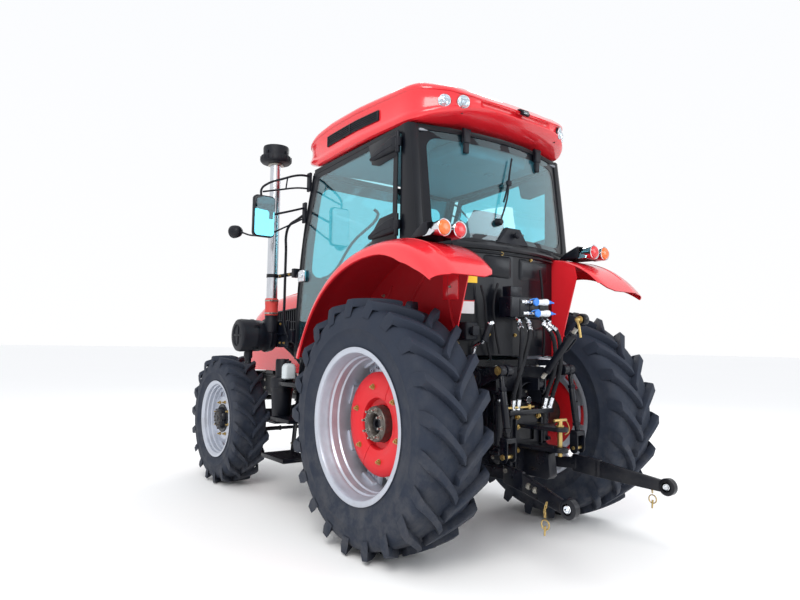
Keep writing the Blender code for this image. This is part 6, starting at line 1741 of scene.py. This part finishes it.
def addIntake():
    x, y = intake["x"], intake["y"]
    tube = addSpin([(0.040, intake["foot"] + 0.12), (0.0435, intake["foot"] + 0.12), (0.0435, 2.628), (0.0445, 2.672), (0.0445, 2.680), (0.040, 2.680)], at(x, y, 0), "Z", 48, closed=True)
    ready(tube, "intake_tube", stainless, "chassis", 40, stands=["intake_stack"])
    seam = addDrum(at(x + 0.030, y + 0.0325, 1.58), at(x + 0.030, y + 0.0325, 2.62), 0.0016, around=8)
    ready(seam, "intake_tube_seam", stainless, "chassis")
    sleeve = addSpin([(0.036, 1.441), (0.049, 1.441), (0.052, 1.446), (0.0525, 1.475), (0.0505, 1.485), (0.0505, 1.520), (0.0525, 1.530), (0.052, 1.572), (0.049, 1.577), (0.036, 1.577)], at(x, y, 0), "Z", 48, closed=True)
    ready(sleeve, "intake_rubber_sleeve", redSilicone, "chassis", 40)
    bands = [addSpin([(0.0525, z), (0.0545, z + 0.001), (0.0545, z + 0.012), (0.0525, z + 0.013)], at(x, y, 0), "Z", 48, closed=True) for z in (1.452, 1.552)]
    bands.append(addSpin([(0.044, 2.655), (0.062, 2.656), (0.062, 2.667), (0.044, 2.668)], at(x, y, 0), "Z", 48, closed=True))
    for z in (1.4585, 1.5585):
        bands.append(addBox(at(x - 0.068, y + 0.010, z - 0.006), at(x - 0.050, y + 0.034, z + 0.006), 0.002))
        bands.append(addDrum(at(x - 0.060, y + 0.002, z), at(x - 0.060, y + 0.046, z), 0.004, around=12))
    ready(merge(bands), "intake_clamps", clearZinc, "chassis")
    head = [
        addSpin([(0.046, 2.668), (0.080, 2.670), (0.112, 2.676), (0.1215, 2.686), (0.1225, 2.696), (0.1225, 2.724), (0.119, 2.732), (0.104, 2.736), (0.102, 2.748), (0.104, 2.796), (0.100, 2.810), (0.070, 2.815), (0.030, 2.817), (0.0, 2.8175)], at(x, y, 0), "Z", 56),
    ]
    for k in range(20):
        a = math.tau * k / 20
        fin = addBox((-0.0022, -0.011, 2.692), (0.0022, 0.011, 2.726), 0.001)
        fin.data.transform(Matrix.Translation(at(x, y, 0) + Vector((0.1165 * math.cos(a), 0.1165 * math.sin(a), 0))) @ Matrix.Rotation(a + math.radians(65), 4, "Z"))
        head.append(fin)
    for k in range(4):
        a = math.tau * k / 4 + 0.4
        clip = addBox((-0.010, -0.004, 2.728), (0.010, 0.006, 2.765), 0.002)
        clip.data.transform(Matrix.Translation(at(x, y, 0) + Vector((0.108 * math.cos(a), 0.108 * math.sin(a), 0))) @ Matrix.Rotation(a - math.pi / 2, 4, "Z"))
        head.append(clip)
    ready(merge(head), "precleaner_cap", blackPlastic, "chassis", 40)
    strap = [
        addSpin([(0.0440, 1.744), (0.0475, 1.744), (0.0475, 1.772), (0.0440, 1.772)], at(x, y, 0), "Z", 40, closed=True),
        addBox(at(1.235, 0.752, 1.744), at(x - 0.03, 0.762, 1.772), 0.002),
        addBox(at(1.225, 0.700, 1.730), at(1.265, 0.763, 1.800), 0.004),
    ]
    ready(merge(strap), "intake_strap", blackPowder, "chassis")
    ready(boltsAt([at(1.455, 0.762, 1.758), at(1.30, 0.762, 1.758)], (0, 1, 0), 0.009, 0.005), "intake_strap_bolts", yellowZinc, "chassis")


# Silicone sleeve: soft red rubber with a faint cloth imprint
redSilicone = makeFinish("red_silicone_rubber", ("B8322E", "CC4038"), (0.45, 0.6), grainMm=30, bumpMm=0.15, bumpGrainMm=1.5)
# Mirror glass: silvered, nearly perfect
mirrorGlass = makeFinish("silvered_mirror_glass", ("E9EDF1", "F2F5F7"), (0.01, 0.03), metallic=1.0, grainMm=400)


def addAirCleaner():
    x, z = 1.60, 1.28
    middle = at(x, 0, z)
    can = addSpin([(0.0, 0.742), (0.070, 0.742), (0.112, 0.750), (0.122, 0.762), (0.1235, 0.800), (0.119, 0.806), (0.119, 0.858), (0.1235, 0.866), (0.1245, 0.900), (0.1245, 0.918), (0.130, 0.922), (0.130, 0.936), (0.126, 0.944), (0.129, 1.020), (0.124, 1.040), (0.112, 1.048), (0.085, 1.050), (0.080, 1.040), (0.0, 1.040)], middle, "Y", 64)
    cross = [addBox(at(x - 0.070, 1.038, z - 0.008), at(x + 0.070, 1.047, z + 0.008), 0.003), addBox(at(x - 0.008, 1.038, z - 0.070), at(x + 0.008, 1.047, z + 0.070), 0.003)]
    clips = []
    for k in range(4):
        a = math.tau * k / 4 + math.radians(35)
        clip = addBox((-0.012, 0.905, 0.124), (0.012, 0.955, 0.134), 0.003)
        clip.data.transform(Matrix.Translation(middle) @ Matrix.Rotation(a, 4, "Y"))
        clips.append(clip)
    valve = addSpin([(0.028, -0.130), (0.033, -0.132), (0.034, -0.170), (0.026, -0.185), (0.024, -0.205), (0.030, -0.216), (0.026, -0.222), (0.0, -0.222)], at(x, 0.95, z), "Z", 32)
    neck = addDrum(at(x, 0.95, z - 0.10), at(x, 0.95, z - 0.14), 0.030, around=32)
    outlet = addSpin([(0.0, 1.31), (0.053, 1.31), (0.054, 1.40), (0.050, 1.41), (0.050, 1.4395), (0.0, 1.4395)], at(1.52, 0.80, 0), "Z", 40)
    duct = addTube([at(x, 0.80, z - 0.01), at(x, 0.68, 1.25), at(1.592, 0.56, 1.17), at(1.583, 0.44, 1.03), at(1.580, 0.36, 0.90), at(1.580, 0.29, 0.845), at(1.580, 0.222, 0.84)], 0.038, 24)
    rings = [addSpin([(0.128, 0.790), (0.131, 0.792), (0.131, 0.812), (0.128, 0.814)], middle, "Y", 48, closed=True)]
    ready(merge([can, valve, neck, outlet, duct] + cross), "air_cleaner_canister", blackPlastic, "chassis", 40, stands=["air_cleaner"])
    ready(merge(clips + rings), "air_cleaner_clips", blackPowder, "chassis")
    bracket = [
        addBox(at(1.315, 0.735, 1.190), at(1.760, 0.748, 1.400), 0.004),
        addBox(at(1.315, 0.700, 1.290), at(1.500, 0.764, 1.302), 0.003),
        addBox(at(1.315, 0.700, 1.190), at(1.500, 0.750, 1.202), 0.003),
        addBox(at(1.255, 0.690, 1.230), at(1.320, 0.748, 1.330), 0.003),
    ]
    ready(merge(bracket), "air_cleaner_bracket", blackEnamel, "chassis")
    ready(boltsAt([at(a, 0.748, b) for a in (1.385, 1.455) for b in (1.225, 1.375)], (0, 1, 0), 0.009, 0.003), "air_cleaner_bolts", yellowZinc, "chassis")


def addExhaust():
    x, y = 1.52, -0.80
    pipe = addSpin([(0.036, 1.335), (0.0395, 1.335), (0.0395, 2.690), (0.0405, 2.697), (0.036, 2.697)], at(x, y, 0), "Z", 40, closed=True)
    lower = addTube([at(x, y, 1.345), at(1.525, -0.780, 1.285), at(1.538, -0.68, 1.21), at(1.562, -0.54, 1.10), at(1.578, -0.42, 0.98), at(1.580, -0.34, 0.87), at(1.580, -0.27, 0.842), at(1.580, -0.222, 0.84)], 0.035, 20)
    ready(merge([pipe, lower]), "exhaust_pipe", stainless, "chassis", 40, stands=["exhaust_stack"])
    can = addSpin([(0.038, 1.500), (0.060, 1.505), (0.080, 1.520), (0.084, 1.530), (0.0845, 1.545), (0.083, 1.550), (0.083, 2.000), (0.0845, 2.005), (0.084, 2.020), (0.078, 2.034), (0.058, 2.048), (0.038, 2.050)], at(x, y, 0), "Z", 56)
    guard = []
    for k in range(9):
        z = 1.585 + 0.048 * k
        guard.append(addSpin([(0.0825, z), (0.0848, z + 0.003), (0.0848, z + 0.013), (0.0825, z + 0.016)], at(x, y, 0), "Z", 48, closed=True))
    ready(merge([can] + guard), "exhaust_silencer", blackEnamel, "chassis", 40)
    flap = merge([addDrum(at(x - 0.020, y, 2.699), at(x + 0.020, y, 2.699), 0.002, around=8), addDrum(at(x, y, 2.6975), at(x, y, 2.6995), 0.0405, around=40)])
    ready(flap, "exhaust_rain_flap", clearZinc, "chassis")
    bracket = [addBox(at(1.335, -0.795, 1.365), at(1.500, -0.765, 1.372), 0.002), addBox(at(1.335, -0.795, 1.365), at(1.345, -0.700, 1.415), 0.003), addSpin([(0.0400, 1.385), (0.0450, 1.385), (0.0450, 1.412), (0.0400, 1.412)], at(x, y, 0), "Z", 40, closed=True)]
    ready(merge(bracket), "exhaust_bracket", blackEnamel, "chassis")


def addMirror(side, s):
    def tube(points, r=0.009):
        return addTube([at(a, b * s, c) for a, b, c in points], r, 10)
    upper = tube([(1.095, 0.705, 2.500), (1.105, 0.80, 2.496), (1.145, 0.92, 2.455), (1.180, 1.035, 2.400), (1.192, 1.066, 2.362), (1.194, 1.066, 2.312)])
    lower = tube([(1.125, 0.705, 2.412), (1.14, 0.80, 2.405), (1.165, 0.92, 2.378), (1.190, 1.056, 2.345)], 0.007)
    rung = tube([(1.133, 0.885, 2.468), (1.157, 0.885, 2.386)], 0.006)
    arm = tube([(1.174, 0.705, 2.272), (1.182, 0.84, 2.225), (1.190, 0.958, 2.187)], 0.009)
    arm2 = tube([(1.187, 0.705, 2.193), (1.200, 0.85, 2.110), (1.215, 1.00, 2.035), (1.26, 1.10, 2.020), (1.315, 1.165, 2.045)], 0.007)
    plates = [addBox(at(1.085, min(0.7015 * s, 0.722 * s), 2.385), at(1.135, max(0.7015 * s, 0.722 * s), 2.530), 0.005), addBox(at(1.150, min(0.7015 * s, 0.722 * s), 2.150), at(1.198, max(0.7015 * s, 0.722 * s), 2.310), 0.005)]
    head = addPlate([(y, z) for y, z in roundedLoop(2.004, 2.316, 0.960, 1.130, 0.032, 6)], "X", at(1.170, 0, 0).x, at(1.206, 0, 0).x, 0.008, 3)
    if s < 0:
        head.data.transform(mirrorY)
        head.data.flip_normals()
    ready(merge([upper, lower, rung, arm, arm2, head] + plates), f"mirror_frame_{side}", blackPlastic, "chassis", 40, stands=[f"mirror_{side}"])
    glass = addPlate([(y, z) for y, z in roundedLoop(2.014, 2.306, 0.968, 1.122, 0.026, 6)], "X", at(1.1672, 0, 0).x, at(1.1702, 0, 0).x)
    if s < 0:
        glass.data.transform(mirrorY)
        glass.data.flip_normals()
    ready(glass, f"mirror_glass_{side}", mirrorGlass, "chassis", 30)
    egg = addSpin([(0.0, -0.062), (0.016, -0.060), (0.032, -0.050), (0.043, -0.030), (0.048, -0.002), (0.0485, 0.020), (0.047, 0.024), (0.0, 0.024)], (0, 0, 0), "X", 40)
    egg.data.transform(Matrix.Translation(at(1.385, 1.180 * s, 2.055)) @ Matrix.Rotation(math.radians(18 * s), 4, "Z"))
    ready(egg, f"side_lamp_shell_{side}", blackPlastic, "chassis", 40)
    lens = addSpin([(0.0, 0.036), (0.025, 0.034), (0.040, 0.029), (0.046, 0.0235), (0.0, 0.0235)], (0, 0, 0), "X", 40)
    lens.data.transform(Matrix.Translation(at(1.385, 1.180 * s, 2.055)) @ Matrix.Rotation(math.radians(18 * s), 4, "Z"))
    ready(lens, f"side_lamp_lens_{side}", lampGlass, "chassis", 40)


def addHandRail(side, s):
    rail = addTube([at(a, b * s, c) for a, b, c in ((1.160, 0.706, 2.225), (1.240, 0.730, 2.190), (1.325, 0.762, 2.145), (1.354, 0.770, 2.090), (1.355, 0.770, 1.95), (1.355, 0.770, 1.55), (1.354, 0.769, 1.390), (1.342, 0.755, 1.310), (1.315, 0.728, 1.250), (1.285, 0.704, 1.215))], 0.0105, 12)
    feet = [addDrum(at(1.160, 0.7015 * s, 2.225), at(1.160, 0.7075 * s, 2.225), 0.020, around=24, bevel=0.001), addDrum(at(1.282, 0.7015 * s, 1.215), at(1.282, 0.7075 * s, 1.215), 0.020, around=24, bevel=0.001)]
    ready(merge([rail] + feet), f"hand_rail_{side}", blackPowder, "chassis")


stepBox = {"treads": [(1.05, 1.43, 0.645, 0.895, 0.355), (1.06, 1.37, 0.645, 0.855, 0.635), (1.04, 1.33, 0.645, 0.815, 0.900)]}


def addSteps(side, s):
    parts, plates = [], []
    for x0, x1, y0, y1, z in stepBox["treads"]:
        low, high = sorted((y0 * s, y1 * s))
        parts.append(addBox(at(x0, low, z + 0.002), at(x1, high, z + 0.008), 0.002))
        for a, b, c, d in ((x0, x0 + 0.008, low, high), (x1 - 0.008, x1, low, high), (x0, x1, low, low + 0.008), (x0, x1, high - 0.008, high)):
            parts.append(addBox(at(a, c, z), at(b, d, z + 0.028), 0.002))
        ribs = int((x1 - x0) / 0.024)
        for k in range(1, ribs):
            parts.append(addBox(at(x0 + 0.024 * k - 0.003, low, z + 0.008), at(x0 + 0.024 * k + 0.003, high, z + 0.026), 0.001))
    for x0, x1, x2, x3 in ((1.07, 1.13, 1.09, 1.03), (1.37, 1.43, 1.30, 1.24)):
        low, high = sorted((0.642 * s, 0.650 * s))
        parts.append(addPlate([(at(x, 0, 0).x, z) for x, z in ((x0, 0.30), (x1, 0.30), (x2, 1.098), (x3, 1.098))], "Y", low, high, 0.002))
    ready(merge(parts), f"step_ladder_{side}", blackEnamel, "chassis", 40, stands=[f"cab_steps_{side}"])
    ready(boltsAt([at(x, 0.650 * s, z) for x, z in ((1.10, 0.44), (1.395, 0.44), (1.07, 0.80), (1.29, 0.95))], (0, s, 0), 0.010), f"step_bolts_{side}", clearZinc, "chassis")


# Unfilled polyethylene bottle: cloudy white
cloudyBottle = makeFinish("natural_polyethylene", ("B9C2C8", "D3DADD"), (0.35, 0.5), grainMm=60, bumpMm=0.1)


def addTanks():
    body = addSkin([[Vector((x, y, z)) for y, x in roundedLoop(at(0.805 + d, 0, 0).x, at(1.215 - d, 0, 0).x, 0.205 + d, 0.595 - d, 0.06, 6)] for z, d in ((0.484, 0.035), (0.500, 0.010), (0.560, 0.0), (0.700, 0.0), (0.715, 0.006), (0.730, 0.006), (0.745, 0.0), (0.900, 0.0), (0.955, 0.010), (0.975, 0.035))], closed=True)
    capEnds(body)
    straps = [addBox(at(x - 0.016, 0.201, 0.480), at(x + 0.016, 0.599, 0.984), 0.012) for x in (0.92, 1.10)]
    filler = addSpin([(0.0, 0.050), (0.040, 0.048), (0.044, 0.040), (0.044, 0.015), (0.036, 0.0), (0.0, 0.0)], at(1.0, 0.47, 0.972), "Z", 36)
    ready(body, "fuel_tank_shell", blackPlastic, "chassis", 40, stands=["fuel_tank"])
    ready(merge(straps), "fuel_tank_straps", blackPowder, "chassis")
    ready(filler, "fuel_tank_cap", softRubber, "chassis")
    box = addSkin([[Vector((x, y, z)) for y, x in roundedLoop(at(0.805 + d, 0, 0).x, at(1.215 - d, 0, 0).x, -0.595 + d, -0.205 - d, 0.03, 4)] for z, d in ((0.504, 0.012), (0.520, 0.0), (0.800, 0.0), (0.805, 0.004), (0.812, 0.004), (0.816, -0.002), (0.900, -0.002), (0.916, 0.012))], closed=True)
    capEnds(box)
    latches = [addBox(at(x - 0.018, -0.604, 0.77), at(x + 0.018, -0.596, 0.85), 0.004) for x in (0.90, 1.12)]
    ready(merge([box] + latches), "battery_box_shell", blackPlastic, "chassis", 40, stands=["battery_box"])
    # the tall canister in front of the steps, with a narrower neck and a bottle beside it
    canister = addSpin([(0.0, 0.620), (0.066, 0.622), (0.072, 0.632), (0.086, 0.925), (0.087, 0.945), (0.080, 0.956), (0.056, 0.962), (0.054, 0.972), (0.054, 1.085), (0.048, 1.098), (0.0, 1.100)], at(1.425, 0.735, 0), "Z", 48)
    band = addSpin([(0.078, 0.845), (0.0865, 0.846), (0.0865, 0.872), (0.080, 0.873)], at(1.425, 0.735, 0), "Z", 48, closed=True)
    shelf = addPlate([(at(x, 0, 0).x, y) for x, y in ((1.42, 0.300), (1.52, 0.300), (1.515, 0.73), (1.48, 0.815), (1.38, 0.815), (1.36, 0.73))], "Z", 0.600, 0.618, 0.003)
    stay = addBox(at(1.46, 0.220, 0.50), at(1.50, 0.360, 0.605), 0.004)
    ready(canister, "canister_body", blackPlastic, "chassis", 40)
    ready(merge([band, shelf, stay]), "canister_bracket", blackPowder, "chassis")
    bottle = addSkin([[Vector((x, y, z)) for y, x in roundedLoop(at(1.250 + d, 0, 0).x, at(1.325 - d, 0, 0).x, 0.70 + d, 0.80 - d, 0.025, 5)] for z, d in ((0.945, 0.012), (0.955, 0.0), (1.040, 0.0), (1.060, 0.008), (1.070, 0.024))], closed=True)
    capEnds(bottle)
    ready(bottle, "washer_bottle", cloudyBottle, "chassis", 40)
    cap = addDrum(at(1.288, 0.75, 1.068), at(1.288, 0.75, 1.090), 0.018, around=28, bevel=0.003)
    ready(cap, "washer_bottle_cap", blackPlastic, "chassis")
    for y in (0.648, -0.648):
        low, high = sorted((y, y * 0.995))
        shield = addPlate([(at(x, 0, 0).x, z) for x, z in ((0.86, 0.70), (1.00, 0.50), (1.24, 0.50), (1.26, 1.06), (0.90, 1.06))], "Y", low, high, 0.003)
        ready(shield, "tank_guard_" + ("left" if y > 0 else "right"), blackPowder, "chassis")


addHood()
addEngineDetail()
addWeights()
addFrontAxle()
addIntake()
addAirCleaner()
addExhaust()
addTanks()
for side, s in sides.items():
    addMirror(side, s)
    addHandRail(side, s)
    addSteps(side, s)
for node, finish in {"engine_block": blackEnamel, "front_frame": blackEnamel}.items():
    cad[node].data.materials.clear()
    cad[node].data.materials.append(finish)
shown = {"transaxle_housing", "engine_block", "front_frame", "cab_frame", "cab_floor"}
print("hood, stacks and side gear made")
